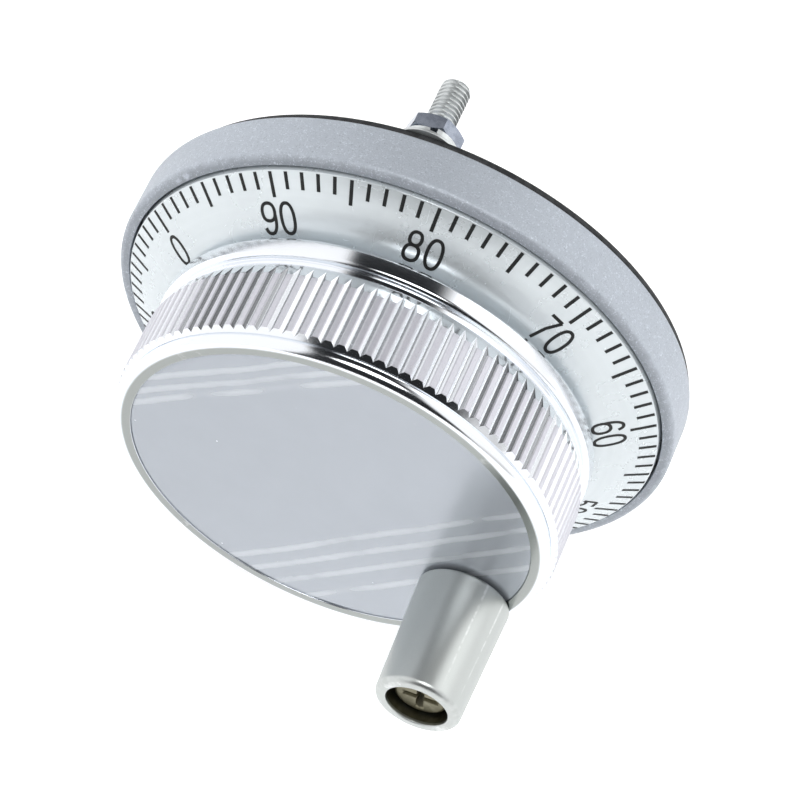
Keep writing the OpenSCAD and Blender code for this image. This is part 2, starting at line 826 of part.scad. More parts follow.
module crank_screw() {
    head = grip_seat_z + grip_play;
    color("#8b8e84") place() rotate(crank_angle) translate([crank_r, 0, 0]) difference() {
        union() {
            rod(crank_thread_r, seat_z - crank_thread_l, seat_z);
            rod(crank_shoulder_r, seat_z, head);
            rod(crank_head_r, head, head + crank_head_h - head_bevel);
            translate([0, 0, head + crank_head_h - head_bevel])
                cylinder(r1 = crank_head_r, r2 = crank_head_r - head_bevel, h = head_bevel);
        }
        for (turn = [0, 90])
            rotate(turn) bar(cross_w, -cross_l / 2, cross_l / 2,
                head + crank_head_h - cross_d, head + crank_head_h + over);
    }
}

module grip_washer() {
    color("#d8d4c4") place() rotate(crank_angle) translate([crank_r, 0, 0])
        tube(grip_washer_r, crank_shoulder_r + slip, plate_z, plate_z + grip_washer_t);
}

module crank_grip() {
    shoulder_z = grip_end_z - grip_round;
    color("#9fa5a5") place() rotate(crank_angle) translate([crank_r, 0, 0])
        rotate_extrude() polygon(concat(
            [[grip_bore_r, grip_z], [grip_foot_r - grip_foot_chamfer, grip_z],
             [grip_foot_r, grip_z + grip_foot_chamfer]],
            arc([grip_end_r - grip_round, shoulder_z], grip_round, 0, 90, 8),
            [[recess_r + recess_chamfer, grip_end_z], [recess_r, grip_end_z - recess_chamfer],
             [recess_r, grip_seat_z], [grip_bore_r, grip_seat_z]]));
}

flange();
gasket();
mounting_studs();
flat_washers();
spring_washers();
hex_nuts();
bearing_carrier();
carrier_screws();
front_outer_race();
rear_outer_race();
housing_circlip();
magnet_bracket();
bracket_screw();
detent_magnet();
circuit_board();
board_spacers();
optical_reader();
terminal_block();
terminal_screws();
rear_cover();
cover_screws();
front_ball_set();
rear_ball_set();
spindle();
front_inner_race();
rear_inner_race();
race_spacer();
spindle_circlip();
detent_rotor();
code_hub();
code_disc();
hub_set_screw();
knob_shell();
knob_screw();
face_plate();
dial_ring();
dial_screws();
crank_screw();
grip_washer();
crank_grip();
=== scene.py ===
# %% [markdown]
# # A handwheel for a machine's control panel
# The object is a round unit that bolts to a panel: a flange, a conical dial with a hundred marks, a
# knurled knob and a small crank grip that turns on its own screw. Its mechanics are packed already as
# a frame of solids, each in its place. This lesson gives the outside its real surfaces and finishes.
# Lengths are in millimetres until a mesh is made. A height is measured forward from the flange's rear
# face, along the spindle, and a turn is counted from 3 o'clock, anticlockwise as seen from the front.

# %% Load the frame
import json
import math

import bmesh
import bpy
import numpy as np
from mathutils import Matrix, Vector


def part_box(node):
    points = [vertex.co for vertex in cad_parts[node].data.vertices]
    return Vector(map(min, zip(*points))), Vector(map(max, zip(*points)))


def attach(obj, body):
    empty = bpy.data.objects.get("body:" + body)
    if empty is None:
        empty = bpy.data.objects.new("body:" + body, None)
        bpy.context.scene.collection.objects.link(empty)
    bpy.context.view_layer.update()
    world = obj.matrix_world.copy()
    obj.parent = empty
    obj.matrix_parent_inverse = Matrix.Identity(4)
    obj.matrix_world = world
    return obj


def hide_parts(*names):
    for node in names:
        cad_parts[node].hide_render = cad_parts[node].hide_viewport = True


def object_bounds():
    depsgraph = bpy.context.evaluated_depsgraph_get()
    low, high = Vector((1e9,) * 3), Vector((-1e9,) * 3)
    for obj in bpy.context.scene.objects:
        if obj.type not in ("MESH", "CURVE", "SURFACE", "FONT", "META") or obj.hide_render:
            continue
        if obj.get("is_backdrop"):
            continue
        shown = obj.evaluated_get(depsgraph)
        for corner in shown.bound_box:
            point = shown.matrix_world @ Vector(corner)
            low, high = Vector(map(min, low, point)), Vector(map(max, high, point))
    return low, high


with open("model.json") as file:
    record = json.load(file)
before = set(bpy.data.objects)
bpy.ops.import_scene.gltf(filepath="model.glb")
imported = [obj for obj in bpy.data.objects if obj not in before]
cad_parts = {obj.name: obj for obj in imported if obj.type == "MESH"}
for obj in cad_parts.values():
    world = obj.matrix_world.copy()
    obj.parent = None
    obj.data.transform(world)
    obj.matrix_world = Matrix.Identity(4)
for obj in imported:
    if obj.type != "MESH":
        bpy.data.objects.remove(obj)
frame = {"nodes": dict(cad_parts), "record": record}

MM = 0.001
cad_low, cad_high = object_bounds()
print("frame box in mm:", [round(v / MM, 2) for v in (*cad_low, *cad_high)])

# %% [markdown]
# ## Sizes taken from the frame
# Each visible piece is redrawn round its solid, so its radii and heights are read from that solid's
# box. Only the small things that a box can't tell, such as a fillet or a bead, are named here.

# %% Read the boxes
def span(node):
    """Lowest and highest corner of a frame node, in millimetres."""
    low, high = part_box(node)
    return np.array(low) / MM, np.array(high) / MM


def heights(node):
    """Rear and front height of a frame node above the flange's rear face."""
    low, high = span(node)
    return REAR_Y - high[1], REAR_Y - low[1]


def footprint(node):
    """Centre (x, z) and radius of a round node that may stand off the spindle."""
    low, high = span(node)
    return ((low + high) / 2)[[0, 2]], (high - low)[0] / 2


REAR_Y = span("flange")[1][1]
flange_r, flange_top = span("flange")[1][0], heights("flange")[1]
dial_r = span("dial_ring")[1][0]
dial_rear, dial_top = heights("dial_ring")
knob_rear, knob_top = heights("knob_shell")
plate_r = span("face_plate")[1][0]
plate_rear, plate_top = heights("face_plate")
grip_rear, grip_top = heights("crank_grip")
grip_axis, grip_foot_r = footprint("crank_grip")
print("flange", flange_r, flange_top, "dial", dial_r, dial_top, "knob", knob_rear, knob_top)
print("grip axis", grip_axis, "foot", grip_foot_r, "heights", grip_rear, grip_top)

# %% [markdown]
# ## How a surface is made
# Nearly everything here was turned on a lathe, so the main tool is an outline carried round the
# spindle. A modifier could spin it, but a grid worked out as whole arrays lets the radius change with
# the turn as well, which the knurl and the nuts need. A corner is never quite sharp on a real part:
# `rounded` puts a small arc on it, and a holding point each side so that the flats still shade flat.

# %% Outlines
ARC_STEP = math.radians(17)
HOLD = 0.05


def rounded(corners):
    """Each corner (r, h, radius) becomes an arc that touches both its sides.
    The arc's ends lie radius / tan(half the corner's angle) from the corner."""
    points = []
    count = len(corners)
    for k in range(count):
        p = np.array(corners[k][:2], float)
        before = np.array(corners[k - 1][:2]) - p
        after = np.array(corners[(k + 1) % count][:2]) - p
        radius = corners[k][2] if len(corners[k]) > 2 else 0
        if radius == 0:
            points.append(p)
            continue
        d0, d1 = before / np.hypot(*before), after / np.hypot(*after)
        half = math.acos(np.clip(d0 @ d1, -1, 1)) / 2
        reach = radius / math.tan(half)
        centre = p + (d0 + d1) / np.hypot(*(d0 + d1)) * radius / math.sin(half)
        start, end = p + d0 * reach - centre, p + d1 * reach - centre
        a0 = math.atan2(start[1], start[0])
        sweep = (math.atan2(end[1], end[0]) - a0 + math.pi) % (2 * math.pi) - math.pi
        steps = max(1, math.ceil(abs(sweep) / ARC_STEP))
        a = a0 + sweep * np.arange(steps + 1) / steps
        hold0 = min(HOLD, max(np.hypot(*before) / 2 - reach, 0.001))
        hold1 = min(HOLD, max(np.hypot(*after) / 2 - reach, 0.001))
        points.append(p + d0 * (reach + hold0))
        points.extend(centre + radius * np.stack([np.cos(a), np.sin(a)], 1))
        points.append(p + d1 * (reach + hold1))
    return np.array(points)


# %% Grids
WELD = 1e-7
SHARP = math.radians(33)
RING_STEPS, SHEET_STEPS = 256, 192


def add_object(name, data):
    """A new object in the scene."""
    made = bpy.data.objects.new(name, data)
    bpy.context.scene.collection.objects.link(made)
    return made


def solid(name, points, faces, marks=None):
    """Points and faces made one closed piece. Seams and poles are welded, and the faces turned outwards
    if the enclosed volume is negative. Marks are values kept on the points."""
    mesh = bpy.data.meshes.new(name)
    mesh.from_pydata(points.tolist(), [], faces.tolist())
    for title, values in (marks or {}).items():
        store = mesh.attributes.new(title, "FLOAT", "POINT")
        store.data.foreach_set("value", values.astype(np.float32))
    bm = bmesh.new()
    bm.from_mesh(mesh)
    bmesh.ops.remove_doubles(bm, verts=bm.verts, dist=WELD)
    if bm.calc_volume(signed=True) < 0:
        bmesh.ops.reverse_faces(bm, faces=bm.faces)
    bm.to_mesh(mesh)
    bm.free()
    mesh.shade_smooth()
    mesh.set_sharp_from_angle(angle=SHARP)
    print(f"{name}: {len(mesh.polygons)} faces")
    return add_object(name, mesh)


def grid_points(x, h, z):
    """A grid of points (x, height, z), in metres and in the frame's own axes."""
    return np.stack(np.broadcast_arrays(x, REAR_Y - h, z), -1) * MM


def grid_faces(rows, cols, rows_close=True, cols_close=True, first=0):
    """The four corners of every cell of a grid, counted row by row."""
    i = np.arange(rows if rows_close else rows - 1)
    j = np.arange(cols if cols_close else cols - 1)
    i, j = np.meshgrid(i, j, indexing="ij")
    i1, j1 = (i + 1) % rows, (j + 1) % cols
    cells = [i * cols + j, i1 * cols + j, i1 * cols + j1, i * cols + j1]
    return first + np.stack(cells, -1).reshape(-1, 4)


def all_turns(steps):
    """A column of even turns, once round."""
    return np.linspace(0, 2 * math.pi, steps, endpoint=False)[:, None]


def circle(r, t, centre=(0, 0)):
    """x and z of the points at radius r and turn t from a centre."""
    return centre[0] + r * np.cos(t), centre[1] + r * np.sin(t)


def sheet(name, x, h, z, marks=None):
    """A grid that closes both ways, made one piece."""
    points = grid_points(x, h, z)
    shape = points.shape[:2]
    spread = {title: np.broadcast_to(values, shape).ravel() for title, values in (marks or {}).items()}
    return solid(name, points.reshape(-1, 3), grid_faces(*shape), spread)


def lathe(name, r, h, t, axis=(0, 0), marks=None):
    """A grid of radii and heights carried round an axis by its turns."""
    x, z = circle(r, t, axis)
    return sheet(name, x, h + 0 * t, z, marks)


def turned(name, outline, steps, axis=(0, 0), marks=None):
    """A closed outline carried round an axis."""
    r, h = outline.T
    return lathe(name, r, h, all_turns(steps), axis, marks)


def columns(section, t):
    """The radii and the heights of a section whose points may change with the turn."""
    return [np.concatenate([0 * t + point[k] for point in section], 1) for k in (0, 1)]


def between_circles(name, inner, outer, shares, h):
    """A section between two circles (centre, radius) that needn't share a centre. Each of its points
    lies a share of the way from the inner circle to the same turn on the outer one."""
    t = all_turns(SHEET_STEPS)
    (x0, z0), (x1, z1) = [circle(radius, t, centre) for centre, radius in (inner, outer)]
    shares = np.array(shares)
    return sheet(name, x0 + (x1 - x0) * shares, np.array(h) + 0 * t, z0 + (z1 - z0) * shares)


# %% [markdown]
# ## The flange
# A cast or turned ring, bead-blasted so that it looks like fine grey sugar. Its bezel stands round the
# dial like a picture frame. A blasted edge is soft, so the outer corner has a generous radius.

# %% Flange
BEZEL_W = 1.55
BEZEL_ROUND = 0.85
WEB_TOP = 3.6
WEB_BORE_R = 27.5
bezel_in = flange_r - BEZEL_W
flange_outline = rounded([
    (WEB_BORE_R, 0, 0.1), (flange_r, 0, 0.2), (flange_r, flange_top - 0.2, BEZEL_ROUND),
    (bezel_in, flange_top, 0.15), (bezel_in, WEB_TOP, 0.1), (WEB_BORE_R, WEB_TOP, 0.1)])
# The shoulder's share marks the front shoulder, which the flange's material darkens as painted shade.
shoulder = np.clip((flange_outline[:, 1] - flange_top + BEZEL_ROUND) / BEZEL_ROUND, 0, 1)
flange = turned("flange_casting", flange_outline, RING_STEPS, marks={"shoulder": shoulder})

# %% [markdown]
# ## The dial
# A thin cone of clear anodised metal. Its slope turns the marks towards the operator. The marks are
# print, so they are modelled as a film of ink a few hundredths of a millimetre thick.

# %% Dial ring
SEAT_R = 30.0
DIAL_BORE_R = 25.5
DIAL_EDGE_H = 7.5
DIAL_WALL = 2.0
DIAL_SKIRT_W = 1.8
slope = math.atan2(dial_top - DIAL_EDGE_H, dial_r - SEAT_R)
skirt_in = dial_r - DIAL_SKIRT_W
under = dial_top - DIAL_WALL
dial = turned("dial_cone", rounded([
    (DIAL_BORE_R, under, 0.1), (SEAT_R, under), (skirt_in, under - (skirt_in - SEAT_R) * math.tan(slope)),
    (skirt_in, dial_rear, 0.1), (dial_r, dial_rear, 0.1), (dial_r, DIAL_EDGE_H, 0.15),
    (SEAT_R, dial_top), (DIAL_BORE_R, dial_top, 0.1)]), RING_STEPS)
print("dial slope", round(math.degrees(slope), 2))

# %% [markdown]
# ### Ink
# Every mark and figure is made of strokes: a path in the plane of the print, with an even width. The
# plane is then rolled onto the cone. Across the print, u is the distance clockwise and v the distance
# outwards along the slope, so the figures stand with their tops towards the bezel.

# %% Strokes
INK_T = 0.03


def stroke(path, width, closed=False):
    """Left and right edges stand half a width from the path, at right angles to its direction."""
    path = np.array(path, float)
    if closed:
        along = np.roll(path, -1, 0) - np.roll(path, 1, 0)
    else:
        along = np.gradient(path, axis=0)
    side = np.stack([-along[:, 1], along[:, 0]], 1) / np.linalg.norm(along, axis=1)[:, None]
    left, right = path + side * width / 2, path - side * width / 2
    corners = [(left, -INK_T), (left, INK_T), (right, INK_T), (right, -INK_T)]
    grid = np.stack([np.c_[edge, np.full(len(path), w)] for edge, w in corners], 1)
    faces = grid_faces(len(path), 4, closed)
    if not closed:
        last = 4 * (len(path) - 1)
        faces = np.concatenate([faces, [[3, 2, 1, 0], [last, last + 1, last + 2, last + 3]]])
    return grid.reshape(-1, 3), faces


def on_cone(points, turn, foot_r):
    """Rolls print onto the dial: u runs clockwise as an arc, v out along the slope, w up from it."""
    u, v, w = points.T
    r = foot_r + v * math.cos(slope) + w * math.sin(slope)
    h = dial_top - (foot_r + v * math.cos(slope) - SEAT_R) * math.tan(slope) + w * math.cos(slope)
    t = turn - u / r
    return np.stack([r * np.cos(t), REAR_Y - h, r * np.sin(t)], 1) * MM


def ink(name, strokes):
    """Joins strokes, each already on the cone, into one printed piece."""
    points, faces, first = [], [], 0
    for p, f in strokes:
        points.append(p)
        faces.append(f + first)
        first += len(p)
    return solid(name, np.concatenate(points), np.concatenate(faces))


# %% [markdown]
# There are a hundred marks, one for each click of the wheel. Every fifth is longer, and every tenth
# has a figure. The count rises anticlockwise, from a zero that stands at about half past nine.

# %% Marks
MARKS = 100
ZERO_TURN = math.radians(154.2)
MARK_W = 0.5
LONG_FOOT_R, SHORT_FOOT_R, MARK_TIP_R = 34.9, 35.85, 37.95


def mark_turn(number):
    """The turn of a mark, counted anticlockwise from zero."""
    return ZERO_TURN + 2 * math.pi * number / MARKS


def mark(number):
    """A straight stroke from its foot out to the dial's edge."""
    foot = LONG_FOOT_R if number % 5 == 0 else SHORT_FOOT_R
    length = (MARK_TIP_R - foot) / math.cos(slope)
    points, faces = stroke([(0, length * k / 3) for k in range(4)], MARK_W)
    return on_cone(points, mark_turn(number), foot), faces


dial_marks = ink("dial_marks", [mark(n) for n in range(MARKS)])

# %% [markdown]
# The figures are a plain, narrow lettering of the maker's own: each is a few arcs and lines in a box
# one unit high. An oval with slightly flattened sides gives the tall zero of engraved dials.

# %% Figures
FIGURE_H = 4.55
FIGURE_W = 0.46
FIGURE_PITCH = 2.86
FIGURE_FOOT_R = 30.45
HALF_W, STEM = 0.213, 0.045


def oval(cx, cy, rx, ry, start, end, steps=28, power=0.86):
    """An oval's arc: x and y follow cos and sin, each raised to a power under one."""
    a = np.radians(np.linspace(start, end, steps))
    x = np.sign(np.cos(a)) * np.abs(np.cos(a)) ** power
    y = np.sign(np.sin(a)) * np.abs(np.sin(a)) ** power
    return np.stack([cx + rx * x, cy + ry * y], 1)


def ring(cx, cy, rx, ry):
    """A closed oval."""
    return oval(cx, cy, rx, ry, 0, 360, 41)[:-1], True


def line(*points):
    """A straight stroke."""
    return np.array(points, float), False


LOW, HIGH = STEM, 1 - STEM
FIGURES = {
    "0": [ring(0, 0.5, HALF_W, 0.5 - STEM)],
    "1": [line((-0.13, 0.74), (0.03, HIGH)), line((0.03, HIGH), (0.03, 0))],
    "2": [(np.r_[oval(0, 0.72, HALF_W, HIGH - 0.72, 170, -25), [(-HALF_W, LOW)]], False),
          line((-HALF_W, LOW), (HALF_W + 0.02, LOW))],
    "3": [(oval(0, 0.735, 0.175, HIGH - 0.735, 160, -90), False),
          (oval(0, 0.27, HALF_W, 0.27 - LOW, 90, -155), False)],
    "4": [line((0.09, HIGH), (-0.22, 0.27)), line((-0.24, 0.27), (0.24, 0.27)), line((0.1, 0), (0.1, 1))],
    "5": [line((-0.14, HIGH), (0.2, HIGH)), line((-0.13, HIGH), (-0.18, 0.5)),
          (oval(0, 0.33, HALF_W, 0.33 - LOW, 145, -155), False)],
    "6": [ring(0, 0.31, HALF_W, 0.31 - LOW), (oval(0, 0.5, HALF_W, HIGH - 0.5, 190, 35), False)],
    "7": [line((-HALF_W, HIGH), (HALF_W, HIGH)), line((HALF_W, HIGH), (0.02, 0.5), (-0.06, 0))],
    "8": [ring(0, 0.745, 0.17, HIGH - 0.745), ring(0, 0.29, HALF_W, 0.29 - LOW)],
    "9": [ring(0, 0.69, HALF_W, HIGH - 0.69), (oval(0, 0.5, HALF_W, 0.5 - LOW, 10, -145), False)],
}


def label(number):
    """The figures of one number, side by side and centred on its mark."""
    text = str(number)
    strokes = []
    for k, figure in enumerate(text):
        shift = (k - (len(text) - 1) / 2) * FIGURE_PITCH
        for path, closed in FIGURES[figure]:
            points, faces = stroke(path * FIGURE_H + (shift, 0), FIGURE_W, closed)
            strokes.append((on_cone(points, mark_turn(number), FIGURE_FOOT_R), faces))
    return strokes


dial_figures = ink("dial_figures", sum((label(n) for n in range(0, MARKS, 10)), []))

# %% [markdown]
# ## The knob
# One turning with a skirt, a neck, a knurled band between two bevels, and a rounded rim. The knurl is
# a hundred and ten vee grooves, planed along the spindle. On the bevels a groove runs out to a point,
# because the metal there is lower. The grid follows that: in every row the groove's columns close up
# in step with its depth, so the points come out crisp with few faces.

# %% Knob outline
KNURL_R = 31.3
KNURL_COUNT = 110
KNURL_DEPTH = 0.47
KNURL_SHARE = 0.64
TAPER_DROP, TAPER_L = 0.65, 2.35
KNURL_L = 8.5
CHAMFER = 0.75
SKIRT_R, SKIRT_L, NECK_W = 31.1, 3.35, 1.3
RIM_R = KNURL_R - CHAMFER
RIM_ROUND = 1.1
CAVITY_R = 26.6
skirt_top = knob_rear + SKIRT_L
taper_start = skirt_top + NECK_W
knurl_start = taper_start + TAPER_L
knurl_end = knurl_start + KNURL_L
chamfer_end = knurl_end + CHAMFER
LINE_W, LINE_D = 0.3, 0.25
FRONT_WALL = 3.4
BOSS_R, BOSS_BORE_R, BOSS_REAR = 8.0, 4.0, 19.6
seat = plate_rear
recess_r = plate_r + 0.04
ceiling = seat - FRONT_WALL

before_band = rounded([
    (CAVITY_R, knob_rear, 0.1), (SKIRT_R - 1.8, knob_rear, 0.05),
    (SKIRT_R - 1.75, knob_rear + 0.45, 0.05), (SKIRT_R - 0.3, knob_rear + 0.6, 0.25),
    (SKIRT_R, knob_rear + 1.1, 0.3), (SKIRT_R, skirt_top, 0.55),
    (SKIRT_R - 0.9, skirt_top + 0.25, 0.12), (SKIRT_R - 0.9, taper_start - 0.15, 0.15),
    (KNURL_R - TAPER_DROP - 0.08, taper_start, 0.05), (KNURL_R, knurl_start)])[:-1]
after_band = rounded([
    (KNURL_R, knurl_end), (RIM_R, chamfer_end, 0.04), (RIM_R - LINE_D, chamfer_end + 0.03, 0.04),
    (RIM_R - LINE_D, chamfer_end + LINE_W, 0.04), (RIM_R, chamfer_end + LINE_W + 0.03, 0.06),
    (RIM_R, knob_top, RIM_ROUND), (recess_r, knob_top, 0.08), (recess_r, seat, 0.05),
    (BOSS_BORE_R, seat), (BOSS_BORE_R, BOSS_REAR), (BOSS_R, BOSS_REAR), (BOSS_R, ceiling),
    (CAVITY_R, ceiling, 0.4), (CAVITY_R, knob_rear, 0.1)])[1:-4]
print("knob heights", [round(v, 2) for v in (skirt_top, taper_start, knurl_start, knurl_end, chamfer_end)])

# %% Knurled band
GROOVE_COLUMNS = np.array([-1, -0.5, -0.06, 0.06, 0.5, 1.0])
LAND_COLUMNS = 1
groove_floor = KNURL_R - KNURL_DEPTH
pitch = 2 * math.pi / KNURL_COUNT
groove_half = pitch * KNURL_SHARE / 2
taper_root = knurl_start - TAPER_L * KNURL_DEPTH / TAPER_DROP
taper_h = np.linspace(taper_root, knurl_start, 6)[1:]
land_h = np.linspace(knurl_start, knurl_end, 8)[1:]
bevel_h = np.linspace(knurl_end, knurl_end + KNURL_DEPTH, 5)[1:]
band = np.array(
    [(groove_floor, taper_root)]
    + [(KNURL_R - TAPER_DROP * (knurl_start - h) / TAPER_L, h) for h in taper_h]
    + [(KNURL_R, h) for h in land_h] + [(KNURL_R - (h - knurl_end), h) for h in bevel_h])
outline = np.concatenate([before_band, band, after_band])


def knurled(outline):
    """At each height the vee is cut down to one floor. Where the blank's own radius is less than the
    full one, the groove's half width shrinks by the same share, and with it the spread of columns."""
    blank, h = outline.T
    inside = (h >= taper_root - 1e-6) & (h <= knurl_end + KNURL_DEPTH + 1e-6) & (blank > groove_floor - 1e-6)
    share = np.where(inside, np.clip((blank - groove_floor) / KNURL_DEPTH, 0.02, 1), 1.0)
    cut = np.where(inside, share, 0.0)
    half = groove_half * share
    grooves = half[None, :] * GROOVE_COLUMNS[:, None]
    land = (np.arange(1, LAND_COLUMNS + 1) / (LAND_COLUMNS + 1))[:, None]
    lands = half[None, :] + (pitch - 2 * half[None, :]) * land
    offsets = np.concatenate([grooves, lands])
    depth = np.concatenate([1 - np.abs(GROOVE_COLUMNS), np.zeros(LAND_COLUMNS)])[:, None]
    starts = (np.arange(KNURL_COUNT) * pitch)[:, None, None]
    t = (starts + offsets).reshape(-1, len(h))
    r = np.tile(blank - KNURL_DEPTH * cut * depth, (KNURL_COUNT, 1))
    planed = np.tile((depth > 0) * inside * (share > 0.03), (KNURL_COUNT, 1))
    return t, r, np.broadcast_to(h, t.shape), planed


# %% [markdown]
# The knob is anodised satin first, and then its bevels, skirt and rim are cut again with a diamond, so
# two finishes meet on one piece. A value on each point tells the material which is which.

# %% Knob mesh
turns, radii, knob_h, planed = knurled(outline)
land_zone = (knob_h > knurl_start - 0.01) & (knob_h < knurl_end + 0.01) & (radii > groove_floor - 0.01)
satin = np.where(land_zone & (planed < 0.5), 1.0, 0.0)
face_zone = (knob_h > knob_top - 0.02) & (radii < RIM_R - RIM_ROUND + 0.06)
knob = lathe("knob_turning", radii, knob_h, turns,
             marks={"satin": satin, "planed": planed, "front_face": face_zone * 1.0})

# %% [markdown]
# ## The face plate
# A disc of smooth metal let into the knob, still under its clear protective film. The crank's screw
# passes through it off centre, so its flat is a sheet stretched between two circles that don't share
# a centre: the hole and the rim.

# %% Face plate
HOLE_R = 2.65
PLATE_EDGE = 0.08
plate_shares = [0, 0.02, 0.2, 0.5, 0.8, 0.985, 1 - PLATE_EDGE / plate_r, 1, 1, 0.985, 0.5, 0]
plate_h = [plate_top] * 7 + [plate_top - PLATE_EDGE] + [plate_rear] * 4
plate = between_circles("plate_under_film", (grip_axis, HOLE_R), ((0, 0), plate_r), plate_shares, plate_h)

# %% [markdown]
# ## The crank grip
# A small tapered barrel, turned and then satin finished. Its end is counterbored, so that the screw it
# turns on sits below the fingers.

# %% Grip
GRIP_BORE_R = 2.55
GRIP_END_R = 5.95
GRIP_ROUND = 0.85
GRIP_STEPS = 160
RECESS_R, RECESS_D = 4.35, 3.5
grip_outline = rounded([
    (GRIP_BORE_R, grip_rear, 0.05), (grip_foot_r, grip_rear, 0.3), (GRIP_END_R, grip_top, GRIP_ROUND),
    (RECESS_R, grip_top, 0.22), (RECESS_R, grip_top - 0.5), (RECESS_R, grip_top - 0.6),
    (RECESS_R, grip_top - RECESS_D, 0.1), (GRIP_BORE_R, grip_top - RECESS_D, 0.05)])
# The recess walls, below the mouth, are marked for painted shade.
below = np.clip((grip_top - 0.45 - grip_outline[:, 1]) / 0.1, 0, 1)
inside = np.where(grip_outline[:, 0] < RECESS_R + 0.01, below, 0)
grip = turned("grip_barrel", grip_outline, GRIP_STEPS, grip_axis, {"oiled": inside})

# %% [markdown]
# ### The crank screw
# It is a shoulder screw: the grip turns on its plain shoulder while the thread is tight in the knob.
# The head has a cross recess that narrows as it goes down. Seen from the end, a cross is a radius that
# changes with the turn, so the same grid can hold it: one ring of points follows the cross.

# %% Crank screw
SCREW_HEAD_R, SCREW_HEAD_H = 3.75, 1.9
SHOULDER_R, CRANK_THREAD_R = 2.5, 2.0
CROSS_W, CROSS_L, CROSS_D = 1.1, 5.2, 1.3
CROSS_RINGS = [(0.55, 0.5, CROSS_D), (0.9, 0.93, 0.12), (1, 1, 0)]
screw_rear, screw_top = heights("crank_screw")


def cross_radius(t, width, length):
    """Within one arm the cross ends square at half its length; outside it the arm's side gives
    width / 2 over the sine of the turn from the arm."""
    t = np.abs((t + math.pi / 4) % (math.pi / 2) - math.pi / 4)
    side = width / 2 / np.maximum(np.sin(t), 1e-6)
    return np.minimum(side, length / 2 / np.cos(t))


def cross_turns():
    """Turns that fall on every corner of the cross, with a few between them."""
    corner = math.atan2(CROSS_W, CROSS_L)
    arm = np.linspace(-corner, corner, 5)
    gap = np.linspace(corner, math.pi / 2 - corner, 17)[1:-1]
    return np.concatenate([q * math.pi / 2 + np.r_[arm, gap] for q in range(4)])


def crank_screw():
    """From the recess's floor up its walls, over the head, and down the shoulder and the thread. Each
    ring of the cross has its share of the width and of the length, and its depth."""
    t = cross_turns()[:, None]
    top = screw_top
    section = [(0, top - CROSS_D)]
    for wide, long, deep in CROSS_RINGS:
        section.append((cross_radius(t, CROSS_W * wide, CROSS_L * long), top - deep))
    section += list(rounded([
        (0, top), (SCREW_HEAD_R, top, 0.5), (SCREW_HEAD_R, top - SCREW_HEAD_H, 0.1),
        (SHOULDER_R, top - SCREW_HEAD_H), (SHOULDER_R, plate_rear), (CRANK_THREAD_R, plate_rear),
        (CRANK_THREAD_R, screw_rear, 0.3), (0, screw_rear)])[1:])
    r, h = columns(section, t)
    return lathe("crank_shoulder_screw", r, h, t, grip_axis)


crank = crank_screw()

# %% [markdown]
# ## Behind the flange
# Three studs hold the unit to its panel, each with a washer, a spring washer and a nut, over a gasket
# that has slipped a little to one side. The thread is a true helix: its radius depends on how far the
# height has run ahead of the turn. With one stud at the top and two below, the group is 2 R cos 30 wide
# and 1.5 R high, and a stud's own width is the same in both, so the difference gives their circle.

# %% Studs
STUDS = 3
STUD_TURN = math.pi / 2
THREAD_PITCH = 0.7
THREAD_DEPTH = 0.32
STUD_TIP = 0.45
THREAD_ROWS, THREAD_STEPS = 9, 28
GROOVE_FLOOR, GROOVE_FALL = 1.25, 1.5
stud_low, stud_high = span("mounting_studs")
stud_span = stud_high - stud_low
lean = math.cos(math.pi / 6)
stud_circle_r = (stud_span[0] - stud_span[2]) / (2 * lean - 1.5)
stud_r = stud_high[2] - stud_circle_r
stud_rear, stud_front = heights("mounting_studs")
print("stud radius", round(stud_r, 3), "on a circle of", round(stud_circle_r, 3))


def repeat_round(name, r, h, t, cols_close=True):
    """Three copies of one grid, at the studs' places, joined as a single mesh."""
    faces, points = [], []
    for k in range(STUDS):
        x, z = circle(r, t, circle(stud_circle_r, STUD_TURN + 2 * math.pi * k / STUDS))
        points.append(grid_points(x, h, z).reshape(-1, 3))
        faces.append(grid_faces(*x.shape, cols_close=cols_close, first=k * x.size))
    return solid(name, np.concatenate(points), np.concatenate(faces))


def studs():
    """r = outer - depth x (distance of height / pitch - turn from a whole number, doubled), cut by the
    blank's chamfered end, and closed on the axis at both ends."""
    t = all_turns(THREAD_STEPS)
    count = math.ceil((stud_front - stud_rear) / THREAD_PITCH * THREAD_ROWS)
    h = np.linspace(stud_rear, stud_front, count)
    ahead = (h / THREAD_PITCH - t / (2 * math.pi)) % 1
    groove = np.clip(GROOVE_FLOOR - np.abs(2 * ahead - 1) * GROOVE_FALL, 0, 1)
    blank = np.minimum(stud_r, stud_r - STUD_TIP + (h - stud_rear))
    r = np.minimum(stud_r - THREAD_DEPTH * groove, blank)
    r = np.concatenate([0 * t, r, 0 * t], 1)
    return repeat_round("threaded_studs", r, np.concatenate([[h[0]], h, [h[-1]]]), t, False)


stud_piece = studs()

# %% [markdown]
# A nut is a hexagon whose corners were turned off by a cone at each face, which leaves the familiar
# curved edges. Its radius is the smaller of the hexagon's and the cone's.

# %% Nuts and washers
NUT_BORE_R, NUT_FLATS, NUT_LEAD = 1.8, 7.0, 0.3
NUT_FACE_R = NUT_FLATS / 2 - 0.02
NUT_TURN = math.radians(8)
NUT_STEPS, WASHER_STEPS = 96, 64
WASHER_PLAY = 0.25
nut_rear, nut_front = heights("hex_nuts")
washer_rear, washer_front = heights("flat_washers")
washer_r = span("flat_washers")[1][2] - stud_circle_r


